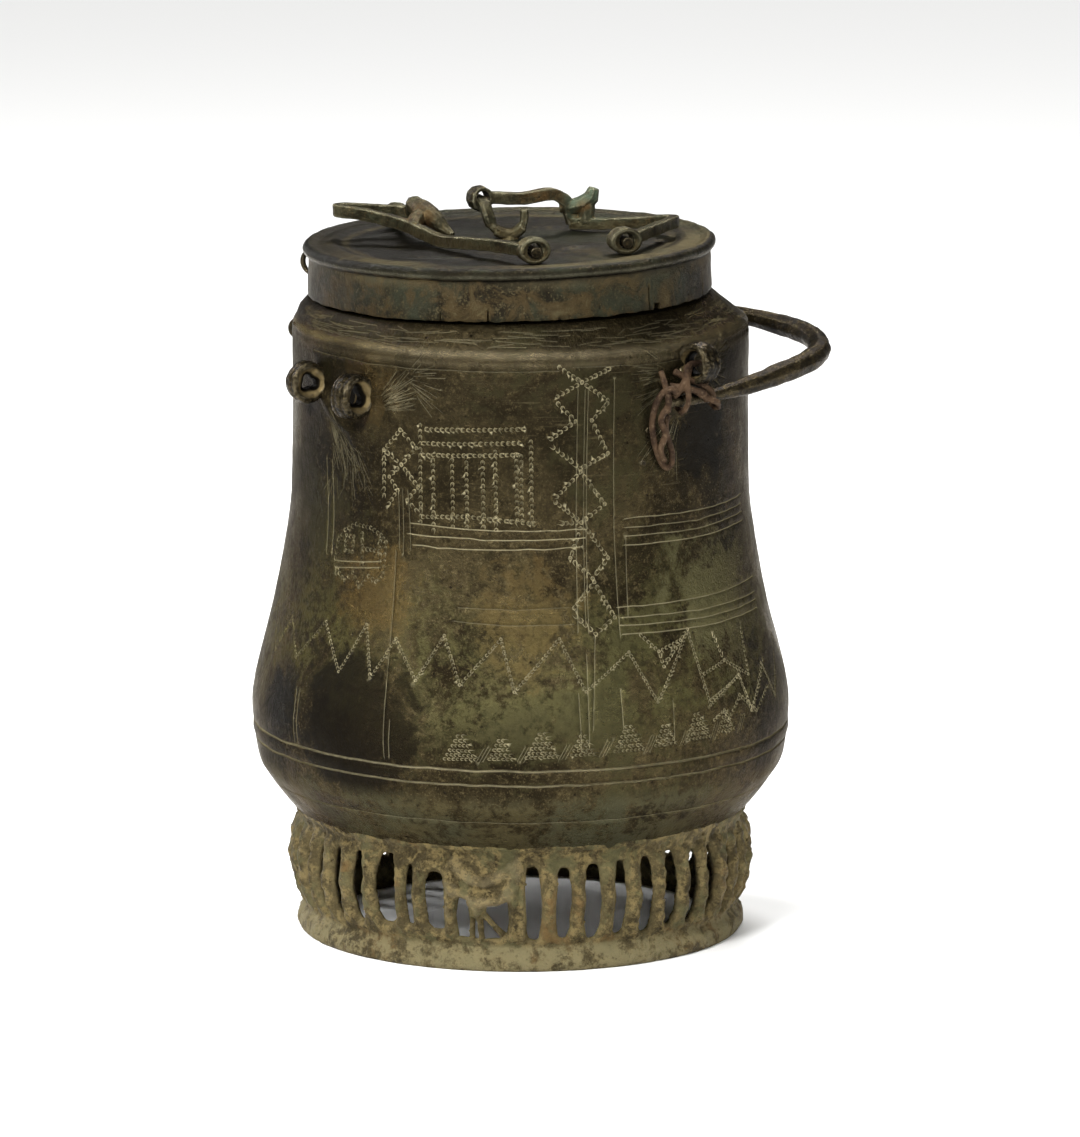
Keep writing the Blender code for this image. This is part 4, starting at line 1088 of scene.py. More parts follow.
def makeFoot():
    rng = random.Random(11)
    wrap = footPlan["wrap"]
    width = 2 * math.pi * wrap
    windows = [windowLoop(*w, rng) for w in footPlan["nearWindows"]]
    first, last, total = footPlan["restFrom"], footPlan["restTo"], footPlan["restCount"]
    nearest, moved = footPlan["seam"]
    for i in range(total):
        angle = first + (last - first) * i / (total - 1) + rng.gauss(0, 0.35)
        if angle > 180:
            angle -= 360
        if abs(abs(angle) - 180) < nearest:
            angle = math.copysign(180 - moved, angle)
        across = rng.uniform(*footPlan["rearWidths" if abs(angle) > footPlan["sideUpTo"] else "sideWidths"])
        bottom = footPlan["low"] + rng.uniform(-0.6, 1.6)
        windows.append(windowLoop(angle, across, bottom, footPlan["top"] + rng.uniform(-1.6, 1.2), rng))
    panel = [resample([*unrolled(o, wrap), unrolled(o, wrap)[0]], 1.1)[:-1] for o in footPlan["panelOpenings"]]
    loops = [resample([*w, w[0]], 1.3)[:-1] for w in windows] + panel
    swags = [mark(resample(unrolled(route, wrap), 1.5), half, -rise, 0.0, step=1.3)
             for route, half, rise in footPlan["swags"]]
    high = footRows[-1][0]
    grid = (-width / 2, width / 2, footPlan["spacing"])
    flat, faces = unrolledSheet(width, 0.0, high, (grid,), footPlan["columns"], swags, loops, rng)
    _, rise, _ = pressMarks(flat, swags)
    angle = flat[:, 0] / wrap
    height = flat[:, 1]
    reach = footPlan["rimReach"]
    edge = loopDistance(flat, loops, reach) / reach
    rounding = footPlan["rimRounding"] * (1.0 - np.sqrt(np.clip(1.0 - (1.0 - edge) ** 2, 0.0, 1.0)))
    radius = np.interp(height, *np.array(footRows).T)
    lumps = ripples(angle, height, footPlan["lumps"])
    settledLow = np.clip(height / 2.0, 0.0, 1.0)
    bars = np.clip((height - 9) / 4, 0, 1) * np.clip((41 - height) / 4, 0, 1)
    collar = ripples(angle, np.full(len(flat), 3.0), ((1.0, 8, 1.0),))
    crease = 0.7 * np.exp(-((height - 40.6 - 1.1 * collar) / 0.9) ** 2)
    twist = 0.35 * bars * edge * np.sin(flat[:, 0] * 1.1 + height * 0.9)
    outer = radius + settledLow * lumps - rounding + rise + 0.7 * bars * edge ** 2 - crease + twist
    thick = np.interp(height, (0, 5.5, 8.5, 41.5, 44.5, high), (7.2, 6.4, footPlan["thickness"], 4.4, 2.2, 1.4))
    inner = radius - thick + rounding + 0.5 * lumps * settledLow
    level = height + np.where(height > 44, ripples(angle, np.full(len(flat), 5.0), ((0.9, 9, 1.0),)), 0.0)
    level[height < 0.01] = 0.0
    count = len(flat)
    points = np.vstack([
        np.column_stack([axisX + outer * np.sin(angle), -outer * np.cos(angle), level]),
        np.column_stack([axisX + inner * np.sin(angle), -inner * np.cos(angle), level]),
    ])
    rims = {}
    for f in faces:
        for a, b in zip(f, np.roll(f, -1)):
            key = (min(a, b), max(a, b))
            rims[key] = None if key in rims else (a, b)
    wallFaces = []
    for found in rims.values():
        if found is None:
            continue
        a, b = found
        if abs(abs(flat[a, 0]) - width / 2) < 1e-4 and abs(abs(flat[b, 0]) - width / 2) < 1e-4:
            continue
        wallFaces.append((b, a, a + count, b + count))
    allFaces = [tuple(f) for f in faces] + [tuple(i + count for i in reversed(f)) for f in faces] + wallFaces
    dust = np.clip(1.0 - edge, 0, 1) * 0.3 + 0.15
    masks = {"dust": np.append(dust, dust), "wearAndHighlight": np.append(0.5 * (rise > 1.0), np.zeros(count)),
             "powder": np.zeros(2 * count)}
    foot = meshPiece("openworkFoot", points * mm, allFaces, masks, sharpAngle=65.0)
    foot.data.materials.append(bronzeFinish("foot bronze", footPlan, footPaint))
    return foot


# Casting pimples and crumbs of earth scattered over the foot
def pimpleTree():
    tree = bpy.data.node_groups.new("castingPimples", "GeometryNodeTree")
    face = tree.interface
    face.new_socket(name="Geometry", in_out="INPUT", socket_type="NodeSocketGeometry")
    for label, kind, value in (("Density", "NodeSocketFloat", 9000.0), ("Radius", "NodeSocketFloat", 0.0005),
                               ("Seed", "NodeSocketInt", 4)):
        face.new_socket(name=label, in_out="INPUT", socket_type=kind).default_value = value
    face.new_socket(name="Finish", in_out="INPUT", socket_type="NodeSocketMaterial")
    face.new_socket(name="Geometry", in_out="OUTPUT", socket_type="NodeSocketGeometry")
    n = Nodes(tree)
    given = n.add("NodeGroupInput").outputs
    out = n.add("NodeGroupOutput")
    up = n.height(n.add("GeometryNodeInputNormal").outputs["Normal"])
    scatter = n.add("GeometryNodeDistributePointsOnFaces", {"Mesh": given["Geometry"], "Density": given["Density"],
                                                            "Selection": n.math("GREATER_THAN", up, -0.6),
                                                            "Seed": given["Seed"]}, distribute_method="RANDOM")
    ball = n.add("GeometryNodeMeshIcoSphere", {"Radius": given["Radius"], "Subdivisions": 2})
    size = n.add("FunctionNodeRandomValue", data_type="FLOAT")
    n.put(size.inputs[2], 0.35)
    n.put(size.inputs[3], 1.5)
    n.put(size.inputs["Seed"], given["Seed"])
    placed = n.add("GeometryNodeInstanceOnPoints", {"Points": scatter.outputs["Points"],
                                                    "Instance": ball.outputs["Mesh"],
                                                    "Rotation": scatter.outputs["Rotation"]})
    n.put(placed.inputs["Scale"], size.outputs[1])
    real = n.add("GeometryNodeRealizeInstances", {"Geometry": placed.outputs["Instances"]})
    finish = n.add("GeometryNodeSetMaterial", {"Geometry": real.outputs["Geometry"], "Material": given["Finish"]})
    n.put(out.inputs["Geometry"], finish.outputs["Geometry"])
    return tree


def scatterPimples(carrier, name, density, radius, seed):
    tree = pimpleTree()
    holder = addObject(name, carrier.data.copy())
    modifier = holder.modifiers.new("pimples", "NODES")
    modifier.node_group = tree
    sockets = {item.name: item.identifier for item in tree.interface.items_tree if item.in_out == "INPUT"}
    modifier[sockets["Density"]] = density
    modifier[sockets["Radius"]] = radius * mm
    modifier[sockets["Seed"]] = seed
    modifier[sockets["Finish"]] = carrier.data.materials[0]
    mesh = plainMesh(holder)
    for v in mesh.vertices:
        v.co.z = max(v.co.z, 0.0)        # none hangs under the foot
    bpy.data.objects.remove(holder, do_unlink=True)
    mesh.shade_smooth()
    print(f"{name}: {len(mesh.polygons)} faces")
    return addObject(name, mesh)


lugPlan = {
    # angle, drop below the shoulder, outer radius, length, radius of the bore, how unround it is
    "leftOuter": (-59.5, 25.0, 7.6, 6.4, 2.5, 0.4),
    "leftInner": (-42.0, 26.5, 8.2, 7.8, 3.2, 0.45),
    "rearLeft": (-134.0, 25.0, 7.6, 6.0, 3.2, 0.0),
    "front": (46.0, 15.5, 7.6, 8.0, 3.7, 0.0),
    "rear": (137.0, 14.5, 7.6, 6.0, 3.7, 0.0),
}
lugSink = 2.0
lugFinish = {
    "dark": (0.009, 0.0075, 0.005), "body": (0.045, 0.036, 0.02), "dirt": (0.15, 0.112, 0.052), "clouds": 60.0,
    "dirtAmount": 0.15, "rough": (0.28, 0.17), "metallic": 0.65, "bump": 0.35,
}
lugBronze = bronzeFinish("lug bronze", lugFinish)
# Share of the outer radius and of half the length, from the bore out over the rim and round the side
lugSection = ((0.0, 0.42), (0.16, 0.46), (0.3, 0.7), (0.42, 0.98), (0.6, 1.08), (0.78, 1.0), (0.93, 0.8),
              (0.965, 0.58), (0.9, 0.44), (0.99, 0.22), (1.0, 0.0))


# A tube of a lug with a grooved side, rooted in the wall
def makeLug(key):
    angle, drop, outer, length, hole, unround = lugPlan[key]
    height = shoulder - drop
    out = float(pearRadius(height)) + outer - lugSink
    half = length / 2
    side = [(hole + (outer - hole) * r, half * z) for r, z in lugSection]
    profile = side + [(r, -z) for r, z in reversed(side[:-1])]
    turn = math.radians(angle)
    along = Vector((math.cos(turn), math.sin(turn), 0.0))
    ring = ringProfile("ring", profile, 48)
    for v in ring.data.vertices:
        r = math.hypot(v.co.x, v.co.y)
        share = max(0.0, 1 - r / (0.75 * outer * mm))
        swing = math.atan2(v.co.y, v.co.x)
        v.co.xy *= 1 + unround * share * (math.sin(3 * swing + 0.6) + 0.5 * math.sin(2 * swing + outer))
    spin = Vector((0, 0, 1)).rotation_difference(along).to_matrix().to_4x4()
    ring.data.transform(Matrix.Translation(around(angle, out, height)) @ spin)
    parts = [ring]
    for lift in (0.6, 0.0, -0.6):
        level = height + lift * outer
        wall = float(pearRadius(level))
        parts.append(roundBar("root", [around(angle, out - 0.72 * outer, height + 0.75 * lift * outer),
                                       around(angle, wall + 0.8, level + 0.2 * lift * outer)], [2.4, 3.0]))
    lug = castTogether(key + "Lug", parts, 0.36, 6)
    roughen(lug, 0.34, 4.2, 0.16, 1.3, 3 + len(key))
    shadeByForm(lug, lugBronze)
    # Painted shade: the deep mask blackens the bore deeper in, where shade falls inside the tube
    centre = around(angle, out, height)      # pale dirt in the bore's mouth, dark deeper in
    dust, deep = [], []
    for v in lug.data.vertices:
        offset = v.co - centre
        depth = abs(offset.dot(along))
        reach = (offset - along * offset.dot(along)).length
        mouth = min(1.0, max(0.0, (0.74 * outer * mm - reach) / (0.1 * outer * mm)))
        dust.append(mouth * min(1.0, max(0.0, (depth / mm - 0.44 * half) / 0.7)))
        deep.append(mouth * min(1.0, max(0.0, (0.66 * half - depth / mm) / 0.5)))
    lug.data.attributes["dust"].data.foreach_set("value", np.array(dust, np.float32))
    lug.data.attributes.new("deep", "FLOAT", "POINT").data.foreach_set("value", np.array(deep, np.float32))
    return lug


# Small cast nubs on the wall: angle, height, radius
nubPlan = ((-44.6, 191.0, 2.3), (32.0, 181.4, 1.5), (-84.0, 220.4, 1.6), (33.5, 193.0, 1.3))


def makeNubs():
    balls = []
    for angle, height, radius in nubPlan:
        wall = float(pearRadius(height))
        ends = [around(angle, wall - 1.0, height), around(angle, wall + 0.15 * radius, height - 0.3)]
        balls.append(roundBar("nub", ends, [radius, 0.8 * radius]))
    return shadeByForm(castTogether("wallNubs", balls, 0.25, 6), lugBronze)


staplePlan = {"angle": -100.0, "drop": 15.5, "reach": 3.0, "radius": 1.15, "steps": 8}


def makeStaple():
    middle, reach, steps = shoulder - staplePlan["drop"], staplePlan["reach"], staplePlan["steps"]
    wall = float(pearRadius(middle))
    points = [around(staplePlan["angle"], wall - 1 + reach * math.sin(math.pi * k / steps),
                     middle + reach * math.cos(math.pi * k / steps)) for k in range(steps + 1)]
    bar = roundBar("bar", points, [staplePlan["radius"]] * len(points))
    return shadeByForm(castTogether("sideStaple", [bar], 0.25, 2), lugBronze)


lidPlan = {
    "radius": vessel["neckRadius"] + 1.5 + 2.4,
    "wall": 2.4,
    "dome": 1.3,
    "bead": 2.5,
    "depth": 16.9,
    "flare": 0.6,
    "seat": shoulder + vessel["neckHeight"] + 0.3 + 2.4,
    # cracks and nicks in the skirt's edge: angle, height, width in degrees, depth
    "cracks": ((-19.5, 3.2, 0.28, 0.9), (-5.9, 4.6, 0.3, 1.2), (14.6, 1.6, 1.2, 1.4), (43.2, 9.0, 0.32, 1.4),
               (71.0, 5.0, 0.28, 0.9)),
    "notch": (46.0, 2.2, 2.4),  # angle, width in degrees, height
    "dark": (0.012, 0.0105, 0.007),
    "body": (0.04, 0.037, 0.0225),
    "dirt": (0.17, 0.14, 0.075),
    "clouds": 34.0,
    "dirtAmount": 0.35,
    "rough": (0.38, 0.24),
    "metallic": 0.6,
    "bump": 0.6,
}
lidPlace = (Matrix.Translation(Vector((axisX + vessel["mouthShift"], 0.0, lidPlan["seat"])) * mm)
            @ Matrix.Rotation(-vessel["mouthLean"], 4, "Y"))


# The plate domes a little towards its middle
def plateTop(r):
    return lidPlan["dome"] * (1 - (r / lidPlan["radius"]) ** 2)


def onPlate(x, y, height):
    return lidPlace @ (Vector((x, y, height + plateTop(math.hypot(x, y)))) * mm)


# Half a section from the middle of the top over the bead, down the skirt and back under the plate
def lidProfile():
    radius, bead = lidPlan["radius"], lidPlan["bead"]
    rows = [(r, plateTop(r)) for r in np.linspace(1.5, 58, 52)]
    rows += [(59.4, plateTop(59) + 0.1), (60.8, plateTop(60) + 0.5), (62.2, plateTop(61) + 0.95),
             (63.8, plateTop(63) + 1.2), (65.4, 1.3), (67.0, 1.15), (68.4, 0.75)]
    centre = radius - 0.4
    rows += [(centre + bead * math.cos(t), bead * 0.92 * math.sin(t) - 0.5)
             for t in np.radians(np.linspace(128, -80, 16))]
    top = -1.25 * bead
    rows += [(radius + lidPlan["flare"] * s, top - (lidPlan["depth"] + top) * s) for s in np.linspace(0.04, 0.97, 16)]
    edge = -lidPlan["depth"]
    rows += [(radius + 0.4, edge), (radius - 1.5, edge), (radius - lidPlan["wall"] + 0.4, edge + 0.5)]
    rows += [(radius - lidPlan["wall"], -lidPlan["depth"] * s) for s in (0.8, 0.5, 0.28)]
    rows += [(radius - lidPlan["wall"] - 1, -lidPlan["wall"]), (45, plateTop(45) - 2.4), (20, plateTop(20) - 2.4),
             (1.5, plateTop(0) - 2.4)]
    return np.array(rows)


# Green-grey plate, dark bead with painted shade on its side and on the skirt's top under it, brown skirt, an ochre
# stain at front right
def lidPaint(n, place, color):
    height = n.height(place)
    wisps = n.noise(place, 80.0, 7.0, 0.74, 0.7)
    green = n.noise(place, 34.0, 5.0, 0.66, 0.5)
    crumbs = n.noise(place, 330.0, 5.0, 0.7)
    color = n.mix(n.times(n.ramp(green, 0.47, 0.58), 0.8), color, (0.03, 0.034, 0.023))
    # Partly the bead's dark metal, partly painted shade: the band darkens the bead's lower side and the top of the
    # skirt under the rolled rim
    bead = n.times(n.ramp(height, 0.2503, 0.2492), n.ramp(height, 0.2442, 0.2462))
    color = n.mix(n.times(bead, 0.8), color, (0.012, 0.0105, 0.007))
    brown = n.times(n.ramp(height, 0.2475, 0.2455), n.ramp(wisps, 0.46, 0.58, 0.0, 0.85))
    color = n.mix(brown, color, (0.062, 0.045, 0.022))
    stain = n.times(n.spot(place, (0.03, -0.035, 0.252), 0.03, 0.2), n.ramp(wisps, 0.46, 0.6, 0.0, 0.7))
    color = n.mix(stain, color, (0.085, 0.07, 0.036))
    return n.mix(n.times(n.ramp(wisps, 0.56, 0.68), n.ramp(crumbs, 0.4, 0.56, 0.1, 0.6)), color,
                 (0.1, 0.085, 0.046))


# Creases of the plate: ends as x, y from the middle, half width, rise
plateCreases = (
    ((17, -26), (29, -20), 2.2, 0.7), ((17, -26), (30, -44), 2.6, -0.5), ((47, -36), (58, -30), 1.6, 0.8),
    ((-30, 8), (-16, -6), 3.0, 0.5), ((-16, -6), (4, -10), 2.4, 0.45), ((-52, -14), (-30, -20), 3.0, -0.45),
    ((-42, -34), (-8, -44), 2.6, 0.5), ((6, -12), (16, -26), 2.0, -0.5), ((10, 22), (40, 28), 3.4, 0.4),
    ((-8, -22), (10, -34), 2.2, 0.4), ((36, -8), (60, -14), 2.6, 0.45), ((-60, 10), (-34, 22), 3.0, 0.4),
)


# Height over the smooth plate of each place on it
def plateRelief(x, y):
    rise = np.array([0.75 * noise.noise(Vector((a / 24, b / 24, 4.0)))
                     + 0.34 * noise.noise(Vector((a / 9, b / 14, 8.0)))
                     + 0.1 * noise.noise(Vector((a / 2.6, b / 3.2, 7.0))) for a, b in zip(x, y)])
    for start, end, half, tall in plateCreases:
        start, along = np.array(start, float), np.subtract(end, start)
        offset = np.column_stack([x, y]) - start
        t = np.clip(offset @ along / (along @ along), 0.0, 1.0)
        away = np.hypot(*(offset - t[:, None] * along).T) / half
        rise += 1.7 * tall * np.clip(1.0 - away, 0.0, 1.0) ** 1.4 * np.sin(np.pi * (0.12 + 0.76 * t))
    return rise


def makeLidPlate():
    profile = lidProfile()
    rim = lidPlan["radius"]
    angles = set(np.round(np.linspace(-180, 180, 361)[:-1], 3))
    for angle, _, width, _ in lidPlan["cracks"]:
        angles |= {round(angle + width * k, 3) for k in (-1, -0.5, 0, 0.5, 1)}
    notchAngle, notchWidth, notchHeight = lidPlan["notch"]
    angles |= {round(notchAngle + notchWidth * k, 3) for k in (-0.55, -0.5, -0.3, 0, 0.3, 0.5, 0.55)}
    angles = sorted(angles)
    edge = -lidPlan["depth"]
    turn = np.radians(np.repeat(angles, len(profile)))
    r, z = np.tile(profile, (len(angles), 1)).T
    c, s = np.sin(turn), -np.cos(turn)

    def field(across, upward, offset=0.0):
        return np.array([noise.noise(Vector((a * across + offset, b * across, h / upward)))
                         for a, b, h in zip(c, s, z)])

    topSide = (np.arange(len(r)) % len(profile)) < len(profile) - 8
    plate = topSide & (r < 66) & (z > -0.3)
    bead = topSide & ~plate & (z > -3.4)
    skirt = (z <= -3.2) & (r > rim - 3)
    dz, dr = np.zeros(len(r)), np.zeros(len(r))
    inward = np.clip((67 - r) / 10, 0, 1) * np.clip(r / 8, 0, 1)
    dz[plate] = (plateRelief(r * c, r * s) * inward)[plate]
    wobble = field(5, 40.0, 6.0)
    unsteady = np.clip((r - 58) / 6, 0, 1) * (0.26 * field(9, 60.0, 2.0) + 0.12 * field(30, 60.0))
    dz[bead | plate] += unsteady[bead | plate]
    dr[bead] = 0.3 * wobble[bead]
    dr[skirt] = (0.32 * field(6, 10.0) + 0.15 * field(17, 4.0, 3.0) + 0.07 * field(44, 2.0))[skirt]
    low = np.clip((edge + 6 - z) / 6, 0, 1)
    dz[skirt] += (low * (0.5 * field(14, 60.0, 9.0) + 0.2 * field(40, 60.0, 5.0)))[skirt]
    degrees = np.degrees(turn)
    for angle, tall, width, deep in lidPlan["cracks"]:
        near = skirt & (np.abs(degrees - angle) < width * 0.99) & (z < edge + tall)
        dent = deep * (1 - np.abs(degrees - angle) / width) * np.minimum(1.0, (edge + tall - z) / tall + 0.3)
        dr[near] -= dent[near]
    near = skirt & (np.abs(degrees - notchAngle) < notchWidth * 0.51)
    dz[near] += (notchHeight * np.clip((edge + 5.5 - z) / 5.5, 0, 1))[near]
    ridge = topSide & (r > 60) & (r < rim) & (z > 0)
    patchy = np.clip(0.5 + 0.9 * field(2.2, 60.0, 1.0), 0.1, 1.0)
    frontRight = np.clip(0.55 + 0.5 * (0.6 * c - 0.8 * s), 0.1, 1.0)
    dust = np.where(ridge, np.clip((r - 61) / 3, 0, 1) * (0.06 + 0.42 * patchy) * frontRight, 0.0)
    dust += np.where(skirt, 0.25 * np.clip((z + 7) / 3, 0, 1) * patchy, 0.0)
    dust += np.where(plate, 0.45 * np.exp(-((r - 58.6) / 1.2) ** 2) * patchy, 0.0)
    # Painted highlight: a pale line round the bead's outer side, laid into the wear-and-highlight mask with the real
    # wear of the skirt's dents
    paintedHighlight = np.exp(-((z + 1.1) / 0.55) ** 2) * (bead & (r > rim + 0.6))
    wearAndHighlight = 0.75 * paintedHighlight + 0.35 * np.clip(-dr / 0.3, 0, 1) * skirt * 0.3
    points = [lidPlace @ (Vector(p) * mm) for p in zip((r + dr) * c, (r + dr) * s, z + dz)]
    dust, wearAndHighlight = list(dust), list(wearAndHighlight)
    faces = []
    rows = len(profile)
    total = len(angles)
    for k in range(total):
        a, b = k * rows, ((k + 1) % total) * rows
        faces += [(a + i, a + i + 1, b + i + 1, b + i) for i in range(rows - 1)]
    for row, level in ((0, profile[0][1]), (rows - 1, profile[-1][1])):
        centre = len(points)
        points.append(lidPlace @ (Vector((0, 0, level)) * mm))
        dust.append(0.0)
        wearAndHighlight.append(0.0)
        faces += [(k * rows + row, ((k + 1) % total) * rows + row, centre) for k in range(total)]
    lid = meshPiece("lidPlate", points, faces, {"dust": dust, "wearAndHighlight": wearAndHighlight, "powder": [0.0] * len(points)}, 1e-7)
    lid.data.materials.append(bronzeFinish("lid bronze", lidPlan, lidPaint))
    return lid


# A flat band along points, its sides upright, with eased corners
def bandBar(name, points, width, height):
    path = []
    ends = [points[0], *points, points[-1]]
    for i in range(1, len(ends) - 2):
        path += [Vector(catmull([tuple(p) for p in ends[i - 1:i + 3]], k / 4)) for k in range(4)]
    path.append(Vector(points[-1]))
    corner = [(1, 0.55), (0.6, 1), (-0.6, 1), (-1, 0.55), (-1, -0.55), (-0.6, -1), (0.6, -1), (1, -0.55)]
    bm = bmesh.new()
    rings, side = [], None
    for i, place in enumerate(path):
        ahead = (path[min(i + 1, len(path) - 1)] - path[max(i - 1, 0)]).normalized()
        across = ahead.cross(Vector((0, 0, 1)))
        if across.length < 0.6 and side:
            across = side - ahead * side.dot(ahead)
        across.normalize()
        if side and across.dot(side) < 0:
            across.negate()
        side = across
        up = across.cross(ahead)
        rings.append([bm.verts.new(place + (across * width * a + up * height * b) * 0.5 * mm) for a, b in corner])
    for a, b in zip(rings, rings[1:]):
        for k in range(8):
            bm.faces.new((a[k], a[k - 1], b[k - 1], b[k]))
    bm.faces.new(rings[0])
    bm.faces.new(reversed(rings[-1]))
    bmesh.ops.recalc_face_normals(bm, faces=bm.faces)
    return objectFrom(name, bm)


hookPlan = {
    # place on the plate and height over it, then width and height of the band
    "arm": ((-12.4, 11.2, 13.4), (-10.2, 6.6, 13.2), (-8.6, 2.4, 12.0), (-7.4, 0, 8.6), (-5.8, 0, 4.6),
            (-2.2, 0, 1.8), (1.6, 0, 1.9), (4.6, 0, 4.2), (5.6, 0, 7.2), (5.6, 0, 10.6)),
    "armSize": (4.4, 3.1),
    "thick": ((-4.8, 0, 3.2), (-1.6, 0, 1.9), (1.8, 0, 1.9), (5.0, 0, 4.4)),
    "thickSize": (5.4, 4.0),
    "root": ((0.4, 0, -1.0), (0.4, 0, 1.6)),
    "rootRadii": (3.8, 2.6),
}


def makeHook():
    arm, thick, root = ([onPlate(*p) for p in hookPlan[key]] for key in ("arm", "thick", "root"))
    parts = [bandBar("band", arm, *hookPlan["armSize"]), bandBar("thick", thick, *hookPlan["thickSize"]),
             roundBar("root", root, hookPlan["rootRadii"])]
    hook = castTogether("lidHook", parts, 0.32, 2)
    roughen(hook, 0.18, 5.0, 0.05, 1.4, 2)
    return shadeByForm(hook, fetterBronze)


skirtLoopPlan = {"angle": -104.0, "reach": 5.6, "tall": 10.0, "wire": 0.95, "sink": 1.0, "steps": 10}


def makeSkirtLoop():
    reach, tall, wire, steps = (skirtLoopPlan[key] for key in ("reach", "tall", "wire", "steps"))
    turn = math.radians(skirtLoopPlan["angle"])
    out = Vector((math.sin(turn), -math.cos(turn), 0))
    base = out * (lidPlan["radius"] + 0.3 - skirtLoopPlan["sink"]) + Vector((0, 0, -0.5 * lidPlan["depth"]))
    turns = [math.pi * k / steps for k in range(steps + 1)]
    points = [lidPlace @ ((base + out * reach * math.sin(t) + Vector((0, 0, tall / 2 * math.cos(t)))) * mm)
              for t in turns]
    radii = [wire * (1.1 - 0.2 * abs(2 * k / steps - 1)) for k in range(steps + 1)]
    return shadeByForm(castTogether("skirtLoop", [roundBar("wire", points, radii)], 0.25, 2), lugBronze)


fetterPlan = {
    "collarPlaces": {"left": (8.6, -53.9), "right": (40.9, -35.2)},
    "collarHeight": 5.0,
    "collarHeading": (0.35, -0.94, 0.0),
    "collarSpread": (1.2, 0.96, 1.0, 1.0),
    # radius and depth round the collar's grooved section
    "collar": ((3.0, -2.9), (4.5, -3.0), (4.9, -2.3), (4.45, -1.7), (4.95, -1.0), (4.5, -0.3), (5.0, 0.5), (4.6, 1.2),
               (5.1, 2.0), (4.8, 3.0), (4.0, 3.4), (3.1, 3.0)),
    "leaf": ((-21.5, -8.0, 4.2), (-26.0, -4.6, 8.0), (-30.6, 0.8, 10.6), (-33.6, 6.0, 12.4)),
    "leafRadii": (1.6, 3.3, 4.0, 2.4),
    "dark": (0.024, 0.021, 0.0125),
    "body": (0.085, 0.078, 0.047),
    "dirt": (0.15, 0.11, 0.052),
    "clouds": 90.0,
    "dirtAmount": 0.35,
    "rough": (0.38, 0.24),
    "metallic": 0.6,
    "bump": 0.5,
}
bailFinish = {
    "dark": (0.012, 0.0095, 0.006), "body": (0.05, 0.04, 0.022), "dirt": (0.14, 0.11, 0.055), "clouds": 80.0,
    "dirtAmount": 0.35, "rough": (0.32, 0.18), "metallic": 0.65, "bump": 0.45,
}


# The wide grooved mouth of a fetter's front eye
def eyeCollar(side):
    collar = ringProfile("collar", fetterPlan["collar"], 40)
    heading = Vector(fetterPlan["collarHeading"]).normalized()
    aside = Vector((0, 0, 1)).cross(heading)
    turn = Matrix((aside, Vector((0, 0, 1)), heading)).transposed().to_4x4()
    middle = onPlate(*fetterPlan["collarPlaces"][side], fetterPlan["collarHeight"])
    collar.data.transform(Matrix.Translation(middle) @ turn @ Matrix.Diagonal(fetterPlan["collarSpread"]))
    return collar


# A CAD casting taken over as it stands and given a cast skin
def skinOf(node, name, finish, voxel, rounds, swell, grit, seed, extras=()):
    source = addObject("source", plainMesh(bpy.data.objects[node]))
    made = castTogether(name, [source, *extras], voxel, rounds)
    roughen(made, swell, 5.5, grit, 1.5, seed)
    return shadeByForm(made, finish)


# Green on the right fetter's clasp, rust in its joints and on the left clasp
def fetterPaint(n, place, color):
    wisps = n.noise(place, 190.0, 6.0, 0.74, 0.5)
    height = n.height(place)
    green = n.times(n.spot(place, (0.018, 0.016, 0.263), 0.013, 0.5), n.ramp(wisps, 0.36, 0.54, 0.3, 0.95))
    color = n.mix(n.ramp(wisps, 0.5, 0.62, 0.0, 0.6), color, (0.06, 0.064, 0.04))
    color = n.mix(green, color, (0.085, 0.11, 0.078))
    rust = n.math("MAXIMUM", n.spot(place, (0.016, 0.014, 0.2585), 0.0055, 0.3),
                  n.spot(place, (-0.043, -0.003, 0.2575), 0.009, 0.3))
    rust = n.math("MAXIMUM", rust, n.times(n.spot(place, (0.0, 0.012, 0.2615), 0.012, 0.3), 0.8))
    color = n.mix(n.times(rust, n.ramp(wisps, 0.4, 0.56, 0.1, 0.9)), color, (0.115, 0.07, 0.03))
    return n.mix(n.ramp(height, 0.256, 0.2535, 0.0, 0.35), color, (0.09, 0.066, 0.03))


fetterBronze = bronzeFinish("fetter bronze", fetterPlan, fetterPaint)
bailBronze = bronzeFinish("bail bronze", bailFinish)

bowl = makeBowl()
foot = makeFoot()
crumbs = scatterPimples(foot, "footCrumbs", *footPlan["crumbs"])
lugs = [makeLug(key) for key in lugPlan]
nubs = makeNubs()
staple = makeStaple()
print("vessel done")

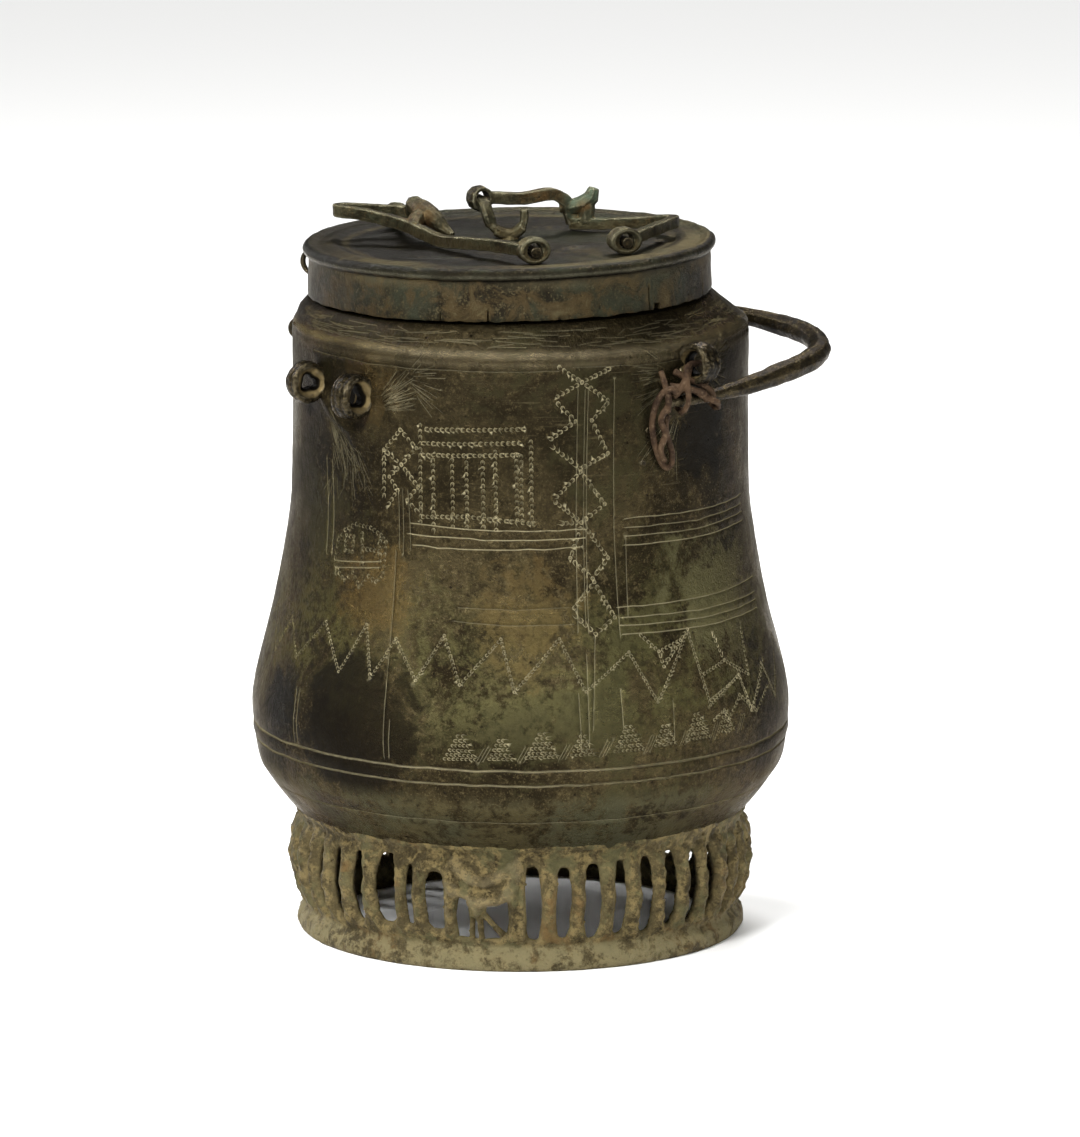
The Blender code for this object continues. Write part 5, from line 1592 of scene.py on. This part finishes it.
lidPlate = makeLidPlate()
hook = makeHook()
skirtLoop = makeSkirtLoop()
leaf = roundBar("leaf", [onPlate(*p) for p in fetterPlan["leaf"]], fetterPlan["leafRadii"])
strands = [roundBar("strand", [around(a, float(pearRadius(z)) + out, z) for a, out, z in route],
                    [thong["radius"]] * len(route)) for route in thong["strands"]]
# Castings taken over from the CAD: voxel, rounds of smoothing, swell, grit, seed
leftFetter = skinOf("left_fetter", "leftFetter", fetterBronze, 0.33, 3, 0.24, 0.06, 5, [eyeCollar("left"), leaf])
rightFetter = skinOf("right_fetter", "rightFetter", fetterBronze, 0.33, 3, 0.24, 0.06, 8, [eyeCollar("right")])
leftPin = skinOf("left_fetter_pin", "leftFetterPin", lugBronze, 0.25, 3, 0.1, 0.06, 9)
rightPin = skinOf("right_fetter_pin", "rightFetterPin", lugBronze, 0.25, 3, 0.1, 0.06, 10)
bail = skinOf("bail", "bailBar", bailBronze, 0.5, 8, 0.34, 0.04, 12)
wrap = skinOf("thong_wrap", "thongWrap", leather, 0.3, 3, 0.2, 0.1, 14, strands)
print("lid, fetters and bail done")

# Which CAD node each piece stands for, and its slot
for node, finish, pieces in (
    ("vessel", "vessel_metal", (bowl, foot, crumbs, *lugs, nubs, staple)),
    ("lid", "lid_metal", (lidPlate, hook, skirtLoop)),
    ("left_fetter", "lid_metal", (leftFetter,)), ("right_fetter", "lid_metal", (rightFetter,)),
    ("left_fetter_pin", "vessel_metal", (leftPin,)), ("right_fetter_pin", "vessel_metal", (rightPin,)),
    ("bail", "vessel_metal", (bail,)), ("thong_wrap", "thong", (wrap,)),
):
    for piece in pieces:
        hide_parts(node)
        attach(piece, "root")

floorMesh = bpy.data.meshes.new("floor")
floorMesh.from_pydata([(-20, -20, 0), (20, -20, 0), (20, 30, 0), (-20, 30, 0)], [], [(0, 1, 2, 3)])
floor = addObject("floor", floorMesh)
paper, _, shader = newFinish("pale paper")
shader.inputs["Base Color"].default_value = (0.9, 0.9, 0.89, 1.0)
shader.inputs["Roughness"].default_value = 0.9
floorMesh.materials.append(paper)
